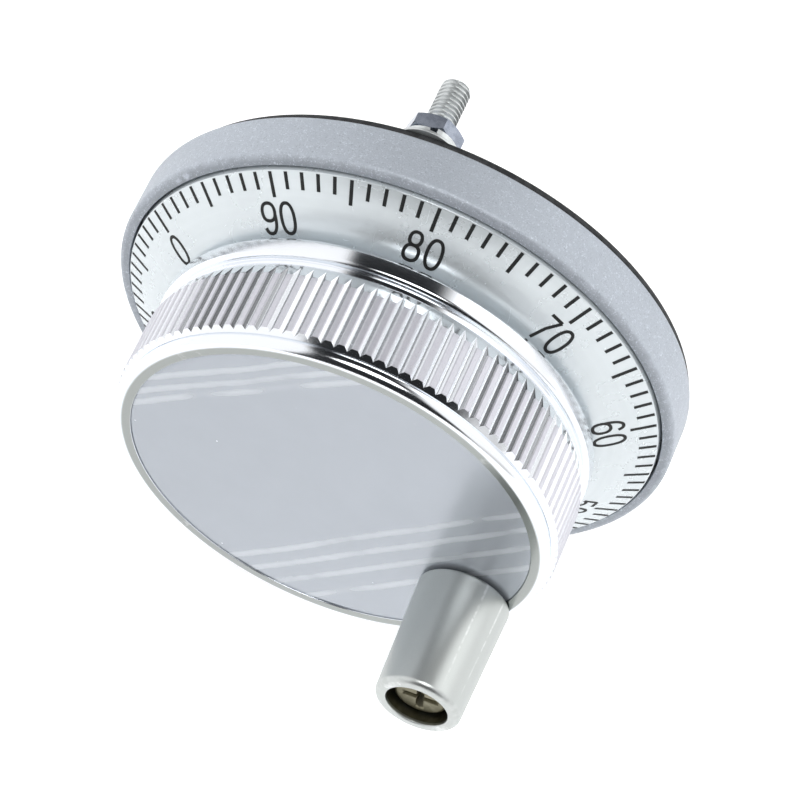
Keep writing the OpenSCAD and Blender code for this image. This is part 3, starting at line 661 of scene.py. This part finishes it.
def nuts():
    """Hexagon: flats / 2 over cos(turn from the nearest flat). Cone: it starts at the flats' circle on
    the face and opens at thirty degrees."""
    t = NUT_TURN + all_turns(NUT_STEPS)
    hexagon = NUT_FLATS / 2 / np.cos((t - NUT_TURN) % (math.pi / 3) - math.pi / 6)
    drop = (hexagon - NUT_FACE_R) * math.tan(math.pi / 6)
    section = [(NUT_BORE_R, nut_rear + NUT_LEAD), (NUT_BORE_R + NUT_LEAD, nut_rear), (NUT_FACE_R, nut_rear),
               (hexagon, nut_rear + drop), (hexagon, nut_front - drop), (NUT_FACE_R, nut_front),
               (NUT_BORE_R + NUT_LEAD, nut_front), (NUT_BORE_R, nut_front - NUT_LEAD)]
    return repeat_round("hexagon_nuts", *columns(section, t), t)


def washers():
    """A punched ring: one face has rounded edges and the other has sharp ones."""
    bore_r = stud_r + WASHER_PLAY
    r, h = rounded([(bore_r, washer_rear, 0.15), (washer_r, washer_rear, 0.25),
                    (washer_r, washer_front, 0.05), (bore_r, washer_front, 0.05)]).T
    return repeat_round("punched_washers", r, h, all_turns(WASHER_STEPS))


nut_piece = nuts()
washer_piece = washers()

# %% [markdown]
# The gasket is a ring of dark rubber. Its bore follows the spindle and its rim follows its own, slipped
# centre, so each turn of the grid mixes the two circles.

# %% Gasket
GASKET_BORE_R = 28.5
gasket_axis, gasket_r = footprint("gasket")
rear, front = heights("gasket")
gasket_h = [front, front, front - 0.06, front - 0.25, rear + 0.25, rear + 0.06, rear, rear]
gasket = between_circles("gasket_rubber_ring", ((0, 0), GASKET_BORE_R), (gasket_axis, gasket_r),
                         [0, 0.97, 0.99, 1, 1, 0.99, 0.97, 0], gasket_h)

# %% [markdown]
# ## Each piece in its place
# A drawn piece stands for its solid in the frame and turns with the same body. The marks and figures
# are printed on the dial, so they turn with the wheel as well.

# %% Bodies and slots
PLACES = [
    (flange, "housing", "satin_aluminium", "flange"), (gasket, "housing", "gasket_rubber", "gasket"),
    (stud_piece, "housing", "zinc_steel", "mounting_studs"),
    (nut_piece, "housing", "bright_steel", "hex_nuts"),
    (washer_piece, "housing", "zinc_steel", "flat_washers"), (dial, "wheel", "dial_anodised", "dial_ring"),
    (dial_marks, "wheel", "black_plastic", None), (dial_figures, "wheel", "black_plastic", None),
    (knob, "wheel", "knob_bright", "knob_shell"), (plate, "wheel", "plate_gloss", "face_plate"),
    (crank, "wheel", "zinc_steel", "crank_screw"), (grip, "grip", "grip_aluminium", "crank_grip"),
]
for piece, body, slot_name, stands_for in PLACES:
    if stands_for:
        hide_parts(stands_for)
    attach(piece, body)
print(len(PLACES), "pieces placed")

# %% [markdown]
# ## Materials
# Effects that several finishes share are built once as node groups: blasted grain, the fine lines that
# a lathe leaves, and the smudges and hairline scratches of handling. Each takes its scale in
# millimetres and gives out masks for colour and gloss; grain and lathe lines give a height for a bump too.

# %% Node helpers
LINEAR_CUT = 0.04045


def linear(red, green, blue, alpha=1.0):
    """A colour named in screen values of 0 to 255, made linear light."""
    values = [c / 255 for c in (red, green, blue)]
    return (*[v / 12.92 if v <= LINEAR_CUT else ((v + 0.055) / 1.055) ** 2.4 for v in values], alpha)


def paler(colour, lift):
    """A colour raised by a number of screen values, made linear light."""
    return linear(*[min(255, c + lift) for c in colour])


def feed(tree, socket, value):
    """Another node's output is linked to the socket, and any other value is set on it."""
    if isinstance(value, bpy.types.NodeSocket):
        tree.links.new(value, socket)
    else:
        socket.default_value = value


def add(tree, kind, inputs=None, **settings):
    """A new node with its settings and inputs."""
    made = tree.nodes.new(kind)
    for key, value in settings.items():
        setattr(made, key, value)
    for key, value in (inputs or {}).items():
        feed(tree, made.inputs[key], value)
    return made


def maths(tree, operation, *values):
    """One arithmetic node's result."""
    return add(tree, "ShaderNodeMath", dict(enumerate(values)), operation=operation).outputs[0]


def times(tree, *values):
    """A product."""
    return maths(tree, "MULTIPLY", *values)


def plus(tree, *values):
    """A sum."""
    return maths(tree, "ADD", *values)


def remap(tree, value, low, high, to_low=0.0, to_high=1.0, smooth=False):
    """A value between low and high, carried over to another range and kept inside it."""
    sort = "SMOOTHSTEP" if smooth else "LINEAR"
    inputs = {"Value": value, "From Min": low, "From Max": high, "To Min": to_low, "To Max": to_high}
    return add(tree, "ShaderNodeMapRange", inputs, interpolation_type=sort).outputs[0]


def mix(tree, factor, first, second):
    """Two plain values mixed by a factor."""
    return add(tree, "ShaderNodeMix", {0: factor, 2: first, 3: second}).outputs[0]


def blend_colours(tree, factor, first, second, mode="MIX"):
    """Two colours mixed by a factor."""
    inputs = {0: factor, 6: first, 7: second}
    return add(tree, "ShaderNodeMix", inputs, data_type="RGBA", blend_type=mode).outputs[2]


def noise(tree, vector, scale, detail=2.0, roughness=0.5):
    """Cloudy noise between 0 and 1."""
    inputs = {"Vector": vector, "Scale": scale, "Detail": detail, "Roughness": roughness}
    return add(tree, "ShaderNodeTexNoise", inputs).outputs[0]


def attribute(tree, name):
    """A value that the mesh keeps on its points."""
    return add(tree, "ShaderNodeAttribute", attribute_name=name).outputs["Fac"]


def apart(tree, vector):
    """A vector's three parts."""
    return add(tree, "ShaderNodeSeparateXYZ", {0: vector}).outputs


def off_spindle(tree, parts):
    """The distance from the spindle."""
    flat = add(tree, "ShaderNodeCombineXYZ", {0: parts[0], 1: parts[2]}).outputs[0]
    return add(tree, "ShaderNodeVectorMath", {0: flat}, operation="LENGTH").outputs["Value"]


def new_group(name, values, outputs):
    """An empty node group that takes a position and named values, each with its usual setting."""
    tree = bpy.data.node_groups.new(name, "ShaderNodeTree")
    tree.interface.new_socket("Position", in_out="INPUT", socket_type="NodeSocketVector")
    for title, value in values.items():
        made = tree.interface.new_socket(title, in_out="INPUT", socket_type="NodeSocketFloat")
        made.default_value = value
    for title in outputs:
        tree.interface.new_socket(title, in_out="OUTPUT", socket_type="NodeSocketFloat")
    return tree, tree.nodes.new("NodeGroupInput").outputs, tree.nodes.new("NodeGroupOutput").inputs


def place(tree, group, position, **inputs):
    """Puts a group into a material with its own values."""
    made = add(tree, "ShaderNodeGroup", node_tree=bpy.data.node_groups[group])
    feed(tree, made.inputs["Position"], position)
    for key, value in inputs.items():
        feed(tree, made.inputs[key.replace("_", " ").capitalize()], value)
    return made.outputs


# %% [markdown]
# Blasting leaves close-set dimples with bright rims here and there. Two sizes of noise give an even
# surface that still sparkles, and the mask marks the deepest dimples.

# %% Blasted grain
tree, g_in, g_out = new_group("blasted_grain", {"Size": 0.2, "Coarse share": 0.3}, ["Height", "Pits"])
per_mm = maths(tree, "DIVIDE", 1 / MM, g_in["Size"])
fine = noise(tree, g_in["Position"], per_mm, 1.0)
coarse = noise(tree, g_in["Position"], times(tree, per_mm, 0.28), 2.0)
tree.links.new(mix(tree, g_in["Coarse share"], fine, coarse), g_out["Height"])
tree.links.new(remap(tree, fine, 0.62, 0.74), g_out["Pits"])

# %% [markdown]
# A lathe's tool leaves rings round the spindle. Their pattern depends only on the distance from the
# axis and on the height, so both are stretched into one number that feeds a noise of one dimension.

# %% Lathe lines
tree, g_in, g_out = new_group("lathe_lines", {"Spacing": 0.1}, ["Height", "Bands"])
parts = apart(tree, g_in["Position"])
along = plus(tree, off_spindle(tree, parts), times(tree, parts[1], 1.37))
per_mm = maths(tree, "DIVIDE", 1 / MM, g_in["Spacing"])
rings = add(tree, "ShaderNodeTexNoise", {"W": along, "Scale": per_mm, "Detail": 3.0}, noise_dimensions="1D")
wide = add(tree, "ShaderNodeTexNoise", {"W": along, "Scale": times(tree, per_mm, 0.1)},
           noise_dimensions="1D")
tree.links.new(rings.outputs[0], g_out["Height"])
tree.links.new(remap(tree, wide.outputs[0], 0.35, 0.65), g_out["Bands"])

# %% [markdown]
# Handling leaves faint cloudy smudges and a few hairline scratches. A scratch is a thin contour of a
# stretched noise, so it is long, slightly curved and broken.

# %% Handling marks
SCRATCH_TILT, SCRATCH_STRETCH = (0.3, 0.5, 0.9), (1.0, 1.0, 0.18)
SCRATCH_LEVEL, SCRATCH_W = 0.56, 0.0035
tree, g_in, g_out = new_group(
    "handling_marks", {"Smudge size": 6.0, "Scratch size": 3.0}, ["Smudges", "Scratches"])
smudge_scale = maths(tree, "DIVIDE", 1 / MM, g_in["Smudge size"])
clouds = noise(tree, g_in["Position"], smudge_scale, 4.0, 0.6)
tree.links.new(remap(tree, clouds, 0.35, 0.7), g_out["Smudges"])
scratch_scale = maths(tree, "DIVIDE", 1 / MM, g_in["Scratch size"])
stretched = add(tree, "ShaderNodeMapping", {
    "Vector": g_in["Position"], "Rotation": SCRATCH_TILT, "Scale": SCRATCH_STRETCH}).outputs[0]
field = noise(tree, stretched, scratch_scale, 0.0)
contour = maths(tree, "ABSOLUTE", maths(tree, "SUBTRACT", field, SCRATCH_LEVEL))
hair = remap(tree, contour, 0.0, SCRATCH_W, 1.0, 0.0)
broken = remap(tree, noise(tree, g_in["Position"], times(tree, scratch_scale, 1.7)), 0.52, 0.6)
tree.links.new(times(tree, hair, broken), g_out["Scratches"])

# %% Edge wear
tree, g_in, g_out = new_group("edge_wear", {"Amount": 0.5, "Patch size": 1.0}, ["Worn"])
edge = remap(tree, tree.nodes.new("ShaderNodeNewGeometry").outputs["Pointiness"], 0.505, 0.56)
patches = noise(tree, g_in["Position"], maths(tree, "DIVIDE", 1 / MM, g_in["Patch size"]), 3.0)
worn = times(tree, edge, remap(tree, patches, 0.4, 0.6))
tree.links.new(times(tree, worn, g_in["Amount"]), g_out["Worn"])
print([g.name for g in bpy.data.node_groups])

# %% [markdown]
# ### Finishes
# Each of the record's slots gets one material. `turned_metal` and `moulded_plastic` make the plain
# ones, and the pieces that the eye rests on have their own.

# %% Finish builder
FULL_METAL = 1.0


def start_material(name):
    """A node tree with a Principled shader, and the piece's own Object coordinates."""
    made = bpy.data.materials.new(name)
    made.use_nodes = True
    tree = made.node_tree
    position = tree.nodes.new("ShaderNodeTexCoord").outputs["Object"]
    return made, tree, tree.nodes["Principled BSDF"], position


def bump(tree, shader, height, distance, strength=1.0):
    """Feeds a height in millimetres of relief to the shader's normal."""
    inputs = {"Height": height, "Distance": distance * MM, "Strength": strength}
    tree.links.new(add(tree, "ShaderNodeBump", inputs).outputs[0], shader.inputs["Normal"])


def join(tree, shader, **inputs):
    """Feeds the shader's sockets."""
    for key, value in inputs.items():
        feed(tree, shader.inputs[key.replace("_", " ").title()], value)


def turned_metal(name, colour, roughness, spacing, relief, patchy=0.05, metal=FULL_METAL):
    """A turned metal: lathe rings, smudges that dull the gloss a little, hairline scratches, and edges
    that are worn brighter."""
    made, tree, shader, position = start_material(name)
    lines = place(tree, "lathe_lines", position, spacing=spacing)
    marks = place(tree, "handling_marks", position)
    worn = place(tree, "edge_wear", position, amount=0.6)["Worn"]
    shade = remap(tree, lines["Bands"], 0, 1, 0.94, 1.0)
    tinted = blend_colours(tree, 1.0, linear(*colour), shade, "MULTIPLY")
    bright = blend_colours(tree, worn, tinted, paler(colour, 28))
    rough = remap(tree, marks["Smudges"], 0, 1, roughness, roughness + patchy)
    rough = plus(tree, rough, times(tree, marks["Scratches"], 0.12))
    join(tree, shader, base_color=bright, roughness=rough, metallic=metal)
    bump(tree, shader, lines["Height"], relief)
    return made


def moulded_plastic(name, colour, roughness, size=0.35, relief=0.01, fade=60):
    """A moulded or rubber surface: fine grain from the tool, with dust and smudges that lighten it."""
    made, tree, shader, position = start_material(name)
    grain = place(tree, "blasted_grain", position, size=size, coarse_share=0.5)
    marks = place(tree, "handling_marks", position, smudge_size=4.0)
    worn = place(tree, "edge_wear", position, amount=0.35)["Worn"]
    dusty = remap(tree, marks["Smudges"], 0, 1, 0.0, 0.1)
    tinted = blend_colours(tree, maths(tree, "MAXIMUM", dusty, worn), linear(*colour), paler(colour, fade))
    join(tree, shader, base_color=tinted,
         roughness=remap(tree, grain["Height"], 0.3, 0.7, roughness - 0.06, roughness + 0.08))
    bump(tree, shader, grain["Height"], relief)
    return made


# %% [markdown]
# The flange is bead-blasted and clear anodised. The anodised skin is slightly grey, the dimples
# sparkle, and its light is spread wide, so the wall shows only soft shading.

# %% Flange and dial materials
FLANGE_COLOUR = (190, 197, 206)
FLANGE_GRAIN = 0.2
FLANGE_METAL = 0.35


def blasted_metal(name, colour, roughness, size, relief):
    """Blasted metal: pits are darker than the skin between them, and the front shoulder is darkened as
    painted shade.
    """
    made, tree, shader, position = start_material(name)
    grain = place(tree, "blasted_grain", position, size=size, coarse_share=0.35)
    marks = place(tree, "handling_marks", position, smudge_size=9.0, scratch_size=5.0)
    worn = place(tree, "edge_wear", position, amount=0.5, patch_size=1.5)["Worn"]
    # Painted shade: the front shoulder is darkened to about two thirds.
    painted_shoulder_shade = remap(tree, attribute(tree, "shoulder"), 0, 1, 1.0, 0.68)
    # Smudges and the painted shoulder shade darken the colour together.
    dull = times(tree, remap(tree, marks["Smudges"], 0, 1, 1.0, 0.95), painted_shoulder_shade)
    tinted = blend_colours(tree, 1.0, linear(*colour), dull, "MULTIPLY")
    glint = remap(tree, grain["Height"], 0.45, 0.3, 0, 0.8)
    glinting = blend_colours(tree, glint, tinted, paler(colour, 30))
    pitted = blend_colours(tree, times(tree, grain["Pits"], 0.4), glinting, paler(colour, -60))
    bright = blend_colours(tree, worn, pitted, paler(colour, 30))
    rough = remap(tree, grain["Height"], 0.35, 0.65, roughness - 0.05, roughness + 0.05)
    rough = plus(tree, rough, times(tree, marks["Smudges"], 0.03))
    join(tree, shader, base_color=bright, roughness=rough, metallic=FLANGE_METAL)
    bump(tree, shader, grain["Height"], relief)
    return made


materials = {"satin_aluminium": blasted_metal("blasted_flange", FLANGE_COLOUR, 0.5, FLANGE_GRAIN, 0.07)}

# %% [markdown]
# The dial is finer: it was turned, then etched to a soft silver, so the rings barely show, and it
# still mirrors the knurl beside it.

# %% Dial
DIAL_COLOUR = (232, 239, 242)
DIAL_DUST = (198, 204, 206)
DIAL_METAL = 0.45


def dial_metal():
    """Etched turning: very fine grain over faint rings, with smudges that change only the gloss."""
    made, tree, shader, position = start_material("etched_dial")
    grain = place(tree, "blasted_grain", position, size=0.09, coarse_share=0.3)
    lines = place(tree, "lathe_lines", position, spacing=0.2)
    marks = place(tree, "handling_marks", position, smudge_size=7.0, scratch_size=2.5)
    shade = remap(tree, lines["Bands"], 0, 1, 0.97, 1.0)
    tinted = blend_colours(tree, 1.0, linear(*DIAL_COLOUR), shade, "MULTIPLY")
    dusty = blend_colours(tree, times(tree, marks["Smudges"], 0.1), tinted, linear(*DIAL_DUST))
    rough = plus(tree, remap(tree, marks["Smudges"], 0, 1, 0.24, 0.3), times(tree, marks["Scratches"], 0.03))
    join(tree, shader, base_color=dusty, roughness=rough, metallic=DIAL_METAL)
    bump(tree, shader, mix(tree, 0.6, lines["Height"], grain["Height"]), 0.003)
    return made


materials["dial_anodised"] = dial_metal()

# %% [markdown]
# The knob's two finishes share one material. The value `satin` marks the tops of the knurl's lands,
# which kept the etched skin, and the rest was cut bright with a diamond.

# %% Knob
KNOB_COLOUR = (240, 243, 247)
LAND_COLOUR = (214, 214, 222)
FACE_COLOUR = (160, 164, 162)
PIT_COLOUR, KNOB_WORN = (130, 131, 142), (246, 247, 250)
LAND_METAL, CUT_METAL, GROOVE_METAL = 0.45, 1.0, 0.8
LAND_ROUGH, FACE_ROUGH, GROOVE_ROUGH = 0.42, 0.16, 0.24


def knob_metal():
    """Bright cuts where `satin` is 0 and speckled satin where it is 1. The front face is between."""
    made, tree, shader, position = start_material("diamond_cut_knob")
    satin = remap(tree, attribute(tree, "satin"), 0.3, 0.6)
    front, groove = attribute(tree, "front_face"), attribute(tree, "planed")
    grain = place(tree, "blasted_grain", position, size=0.14, coarse_share=0.3)
    lines = place(tree, "lathe_lines", position, spacing=0.07)
    marks = place(tree, "handling_marks", position, smudge_size=5.0)
    worn = place(tree, "edge_wear", position, amount=0.2, patch_size=0.6)["Worn"]
    pits = times(tree, grain["Pits"], 0.45)
    speckled = blend_colours(tree, pits, linear(*LAND_COLOUR), linear(*PIT_COLOUR))
    faced = blend_colours(tree, front, linear(*KNOB_COLOUR), linear(*FACE_COLOUR))
    both = blend_colours(tree, satin, faced, speckled)
    bright = blend_colours(tree, worn, both, linear(*KNOB_WORN))
    cut = mix(tree, front, remap(tree, marks["Smudges"], 0, 1, 0.11, 0.15), FACE_ROUGH)
    rough = mix(tree, satin, mix(tree, groove, cut, GROOVE_ROUGH), LAND_ROUGH)
    rough = plus(tree, rough, times(tree, marks["Scratches"], 0.1))
    metal = mix(tree, satin, mix(tree, groove, CUT_METAL, GROOVE_METAL), LAND_METAL)
    join(tree, shader, base_color=bright, roughness=rough, metallic=metal)
    bump(tree, shader, mix(tree, satin, times(tree, lines["Height"], 0.12), grain["Height"]), 0.008)
    return made


materials["knob_bright"] = knob_metal()

# %% [markdown]
# The film over the face plate was rolled on by hand. Where it didn't wet the metal, air lies under it
# in long pale bands: one family low on the left, one above, at slightly different angles. A band is a
# narrow range of the distance measured across the family, broken up by noise.

# %% Face plate
PLATE_COLOUR, AIR_COLOUR = (181, 187, 195), (226, 231, 236)
PLATE_METAL, COAT = 0.5, 0.12
BAND_W = 0.85
FILM_FAMILIES = [
    {"angle": 42, "first": -9.4, "gap": 3.0, "growth": 0.4, "count": 4},
    {"angle": 36, "first": 20.8, "gap": 1.9, "growth": 0.4, "count": 3},
]


def film_bands(tree, position):
    """The strongest of all bands. Across a family, distance = z cos(angle) - x sin(angle)."""
    wavy = noise(tree, position, 0.09 / MM, 2.0)
    parts = apart(tree, position)
    strongest = None
    for family in FILM_FAMILIES:
        angle = math.radians(family["angle"])
        across = maths(tree, "SUBTRACT", times(tree, parts[2], math.cos(angle)),
                       times(tree, parts[0], math.sin(angle)))
        across = plus(tree, across, remap(tree, wavy, 0, 1, -0.5 * MM, 0.5 * MM))
        way = math.copysign(1, family["first"])
        centre, gap = family["first"], family["gap"]
        for _ in range(family["count"]):
            distance = maths(tree, "ABSOLUTE", maths(tree, "SUBTRACT", across, centre * MM))
            band = remap(tree, distance, 0.1 * BAND_W * MM, BAND_W * MM, 1.0, 0.0, smooth=True)
            strongest = band if strongest is None else maths(tree, "MAXIMUM", strongest, band)
            centre += way * gap
            gap += family["growth"]
    broken = remap(tree, noise(tree, position, 0.12 / MM, 1.0), 0.25, 0.5)
    return times(tree, strongest, broken)


def plate_metal():
    """Smooth metal under a clear film. The film is the coat: it is glossier than the metal, and the
    air under it scatters light, which lifts the colour and the roughness."""
    made, tree, shader, position = start_material("plate_under_clear_film")
    bands = film_bands(tree, position)
    spots = add(tree, "ShaderNodeTexVoronoi", {"Vector": position, "Scale": 0.45 / MM}).outputs["Distance"]
    spots = remap(tree, spots, 0.03, 0.1, 1.0, 0.0)
    chance = remap(tree, noise(tree, position, 0.2 / MM, 1.0), 0.6, 0.66)
    air = maths(tree, "MAXIMUM", bands, times(tree, spots, chance))
    marks = place(tree, "handling_marks", position, smudge_size=8.0, scratch_size=6.0)
    shade = remap(tree, marks["Smudges"], 0, 1, 0.97, 1.0)
    tinted = blend_colours(tree, 1.0, linear(*PLATE_COLOUR), shade, "MULTIPLY")
    lifted = blend_colours(tree, times(tree, air, 0.5), tinted, linear(*AIR_COLOUR))
    rough = plus(tree, mix(tree, air, 0.22, 0.36), times(tree, marks["Scratches"], 0.04))
    join(tree, shader, base_color=lifted, roughness=rough, metallic=PLATE_METAL, coat_weight=COAT,
         coat_roughness=0.04)
    bump(tree, shader, plus(tree, air, noise(tree, position, 0.12 / MM, 1.0)), 0.006)
    return made


materials["plate_gloss"] = plate_metal()

# %% Grip and plain materials
GRIP_COLOUR, GRIP_PITS, GRIP_WORN = (196, 200, 198), (168, 170, 168), (236, 238, 238)
# The dark olive below is painted shade for the grip's recess.
RECESS_SHADE_COLOUR = (92, 89, 70)


def grip_metal():
    """Fine blasted grain outside. The recess is darkened to dark olive as painted shade, in patches."""
    made, tree, shader, position = start_material("satin_grip")
    grain = place(tree, "blasted_grain", position, size=0.11, coarse_share=0.3)
    marks = place(tree, "handling_marks", position, smudge_size=3.0)
    worn = place(tree, "edge_wear", position, amount=0.6)["Worn"]
    patchy = remap(tree, marks["Smudges"], 0, 1, 1.0, 0.75)
    clean = blend_colours(tree, times(tree, grain["Pits"], 0.2), linear(*GRIP_COLOUR), linear(*GRIP_PITS))
    clean = blend_colours(tree, worn, clean, linear(*GRIP_WORN))
    # Painted shade: the recess walls are darkened to dark olive, in patches.
    recess_shaded = blend_colours(tree, times(tree, attribute(tree, "oiled"), patchy), clean, linear(*RECESS_SHADE_COLOUR))
    rough = remap(tree, grain["Height"], 0.35, 0.65, 0.33, 0.41)
    join(tree, shader, base_color=recess_shaded, roughness=rough, metallic=FULL_METAL)
    bump(tree, shader, grain["Height"], 0.006)
    return made


METALS = {
    "zinc_steel": ("zinc_plated_steel", (214, 218, 218), 0.36, 0.15, 0.002, 0.1, 0.75),
    # The crank screw's zinc is darkened to olive as painted shade of the recess it sits in.
    "oiled_zinc": ("oiled_zinc_screw", (128, 124, 104), 0.3, 0.15, 0.002, 0.2),
    "bright_steel": ("bright_nut_steel", (150, 157, 170), 0.1, 0.2, 0.001, 0.08),
    "bearing_steel": ("ground_bearing_steel", (200, 202, 204), 0.12, 0.05, 0.001),
    "dark_steel": ("blackened_steel", (46, 47, 50), 0.38, 0.2, 0.003, 0.1),
    "brass_spacer": ("turned_brass", (206, 172, 96), 0.25, 0.12, 0.003, 0.1),
}
PLASTICS = {
    "gasket_rubber": ("gasket_rubber", (24, 26, 28), 0.6, 0.3, 0.012),
    "black_plastic": ("black_moulding", (34, 37, 38), 0.5, 0.25, 0.005),
    "dial_ink": ("printed_ink", (10, 12, 12), 0.62, 0.15, 0.002, 30),
    "green_plastic": ("green_terminal_plastic", (44, 128, 78), 0.42),
    "magnet_ferrite": ("sintered_ferrite", (58, 57, 58), 0.62, 0.15),
    "nylon_washer": ("nylon_washer", (226, 222, 206), 0.45, 0.4, 0.004),
}
materials["grip_aluminium"] = grip_metal()
materials.update({slot: turned_metal(*values) for slot, values in METALS.items()})
materials.update({slot: moulded_plastic(*values) for slot, values in PLASTICS.items()})

# %% [markdown]
# The circuit board is glass cloth in green resin: the weave shows faintly through. The code disc is a
# film of glass with fine radial lines near its rim, though both stay hidden inside the closed cover.

# %% Board and disc
WEAVE, WAVE_SHARE = 0.5, 0.314
CODE_LINES = 100
CODE_IN_R, CODE_OUT_R = 15.0, 18.0


def board():
    """Two crossed waves make the cloth's weave."""
    made, tree, shader, position = start_material("circuit_board_laminate")
    weave = None
    for direction in ("X", "Z"):
        wave = add(tree, "ShaderNodeTexWave", {"Vector": position, "Scale": WAVE_SHARE / (WEAVE * MM)},
                   bands_direction=direction)
        weave = wave.outputs[1] if weave is None else times(tree, weave, wave.outputs[1])
    marks = place(tree, "handling_marks", position)
    tinted = blend_colours(tree, weave, linear(22, 92, 58), linear(34, 112, 72))
    join(tree, shader, base_color=tinted, roughness=remap(tree, marks["Smudges"], 0, 1, 0.3, 0.42))
    bump(tree, shader, weave, 0.004)
    return made


def code_glass():
    """Dark lines repeat with the turn about the spindle, between two radii."""
    made, tree, shader, position = start_material("code_disc_glass")
    parts = apart(tree, position)
    turn = times(tree, maths(tree, "ARCTAN2", parts[2], parts[0]), CODE_LINES / (2 * math.pi))
    lines = maths(tree, "GREATER_THAN", maths(tree, "FRACT", turn), 0.5)
    radius = off_spindle(tree, parts)
    inside = times(tree, maths(tree, "GREATER_THAN", radius, CODE_IN_R * MM),
                   maths(tree, "LESS_THAN", radius, CODE_OUT_R * MM))
    dark = times(tree, lines, inside)
    marks = place(tree, "handling_marks", position)
    join(tree, shader, base_color=blend_colours(tree, dark, linear(196, 206, 204), linear(30, 30, 32)),
         roughness=remap(tree, marks["Smudges"], 0, 1, 0.06, 0.12))
    return made


materials["board_laminate"] = board()
materials["disc_glass"] = code_glass()

# %% Every surface gets its finish
# The crank screw takes that darkened zinc, and the dial's print takes ink.
finish_of = {"crank_shoulder_screw": "oiled_zinc", "dial_marks": "dial_ink", "dial_figures": "dial_ink"}
slot_of = {part["node"]: part["material_slot"] for part in frame["record"]["subparts"]}
for piece, _, slot_name, _ in PLACES:
    piece.data.materials.append(materials[finish_of.get(piece.name, slot_name)])
for name, cad_piece in frame["nodes"].items():
    cad_piece.data.materials.clear()
    cad_piece.data.materials.append(materials[slot_of[name]])
print(len(materials), "materials")

# %% [markdown]
# ## Light
# The object is nearly all mirror, so what it mirrors makes the picture: a white tent, open along a
# strip where the camera looks in, with one lamp overhead and a softer one behind on the right. The
# strip runs from low in front, past the camera and overhead, to the back. Its left edge is a sharp
# fold and its right edge a soft one. A grey card low on the right gives the rim its shape.

# %% Tent
STRIP_LEFT = (-0.43, -0.36)
STRIP_RIGHT = (0.42, 0.6)
STRIP_SKEW = 0.12
STRIP_LOW = (-0.55, -0.4)
CARDS = [{"direction": (0.72, -0.5, -0.48), "edge": (48, 22), "power": 0.5}]
LAMPS = [{"direction": (0.1, -0.15, 0.98), "edge": (20, 15), "power": 4.2},
         {"direction": (0.64, 0.53, 0.56), "edge": (26, 10), "power": 1.7}]
TENT, OPENING = (1.12, 1.12, 1.13, 1), (0.02, 0.021, 0.023, 1)

world = bpy.data.worlds.new("white_tent")
bpy.context.scene.world = world
world.use_nodes = True
tree = world.node_tree
direction = tree.nodes.new("ShaderNodeTexCoord").outputs["Generated"]
parts = apart(tree, direction)
left = remap(tree, parts[0], *STRIP_LEFT, smooth=True)
skewed = plus(tree, parts[0], times(tree, parts[1], STRIP_SKEW))
right = remap(tree, skewed, *STRIP_RIGHT, 1.0, 0.0, smooth=True)
low = remap(tree, parts[2], *STRIP_LOW, smooth=True)
strip = times(tree, times(tree, left, right), low)
tent = blend_colours(tree, strip, TENT, OPENING)
for lamp in CARDS + LAMPS:
    towards = add(tree, "ShaderNodeVectorMath", {0: direction, 1: lamp["direction"]},
                  operation="DOT_PRODUCT")
    outer, inner = [math.cos(math.radians(edge)) for edge in lamp["edge"]]
    glow = remap(tree, towards.outputs["Value"], outer, inner, smooth=True)
    tent = blend_colours(tree, glow, tent, (lamp["power"],) * 3 + (1,))
seen = tree.nodes.new("ShaderNodeLightPath").outputs["Is Camera Ray"]
shown = blend_colours(tree, seen, tent, (1, 1, 1, 1))
tree.links.new(shown, tree.nodes["Background"].inputs["Color"])

# %% [markdown]
# ## Floor and camera
# The floor is a plain pale sheet a little below the flange. The camera stands to the right, well above
# the spindle, far enough off for a flat perspective, and leans slightly.

# %% Floor
FLOOR_DROP = 22.0
FLOOR_SIZE = 3.0
FLOOR_GLOW = 0.4
floor_z = cad_low.z - FLOOR_DROP * MM
corners = [(x * FLOOR_SIZE, y * FLOOR_SIZE, floor_z) for x, y in ((-1, -1), (1, -1), (1, 1), (-1, 1))]
floor_mesh = bpy.data.meshes.new("floor")
floor_mesh.from_pydata(corners, [], [(0, 1, 2, 3)])
floor = add_object("floor", floor_mesh)
floor_material, tree, shader, position = start_material("pale_paper")
paper = remap(tree, noise(tree, position, 4.0, 2.0), 0.3, 0.7, 0.94, 0.97)
tint = add(tree, "ShaderNodeCombineColor", {0: paper, 1: paper, 2: paper}).outputs[0]
join(tree, shader, base_color=tint, emission_color=tint, emission_strength=FLOOR_GLOW, roughness=0.9)
floor_mesh.materials.append(floor_material)
floor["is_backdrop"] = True

# %% Camera
LENS, SENSOR = 156.85, 36.0
AIM = (2.91, -11.97, -2.67)
DISTANCE = 470.0
AZIMUTH, ELEVATION, ROLL = math.radians(17.38), math.radians(56.45), math.radians(4.46)
backward = Vector((math.sin(AZIMUTH) * math.cos(ELEVATION), -math.cos(AZIMUTH) * math.cos(ELEVATION),
                   math.sin(ELEVATION)))
level = Vector((math.cos(AZIMUTH), math.sin(AZIMUTH), 0))
upward = backward.cross(level)
right_way = level * math.cos(ROLL) + upward * math.sin(ROLL)
up_way = backward.cross(right_way)
camera_data = bpy.data.cameras.new("camera")
camera_data.lens = LENS
camera_data.sensor_width = SENSOR
camera_data.clip_start, camera_data.clip_end = 0.01, 50
camera = add_object("camera", camera_data)
turn = Matrix((right_way, up_way, backward)).transposed().to_4x4()
camera.matrix_world = Matrix.Translation((Vector(AIM) + backward * DISTANCE) * MM) @ turn
bpy.context.scene.camera = camera
bpy.context.scene.view_settings.view_transform = "Standard"

# %% Sizes before and after
low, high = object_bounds()
print("drawn box in mm:", [round(v / MM, 2) for v in (*low, *high)])
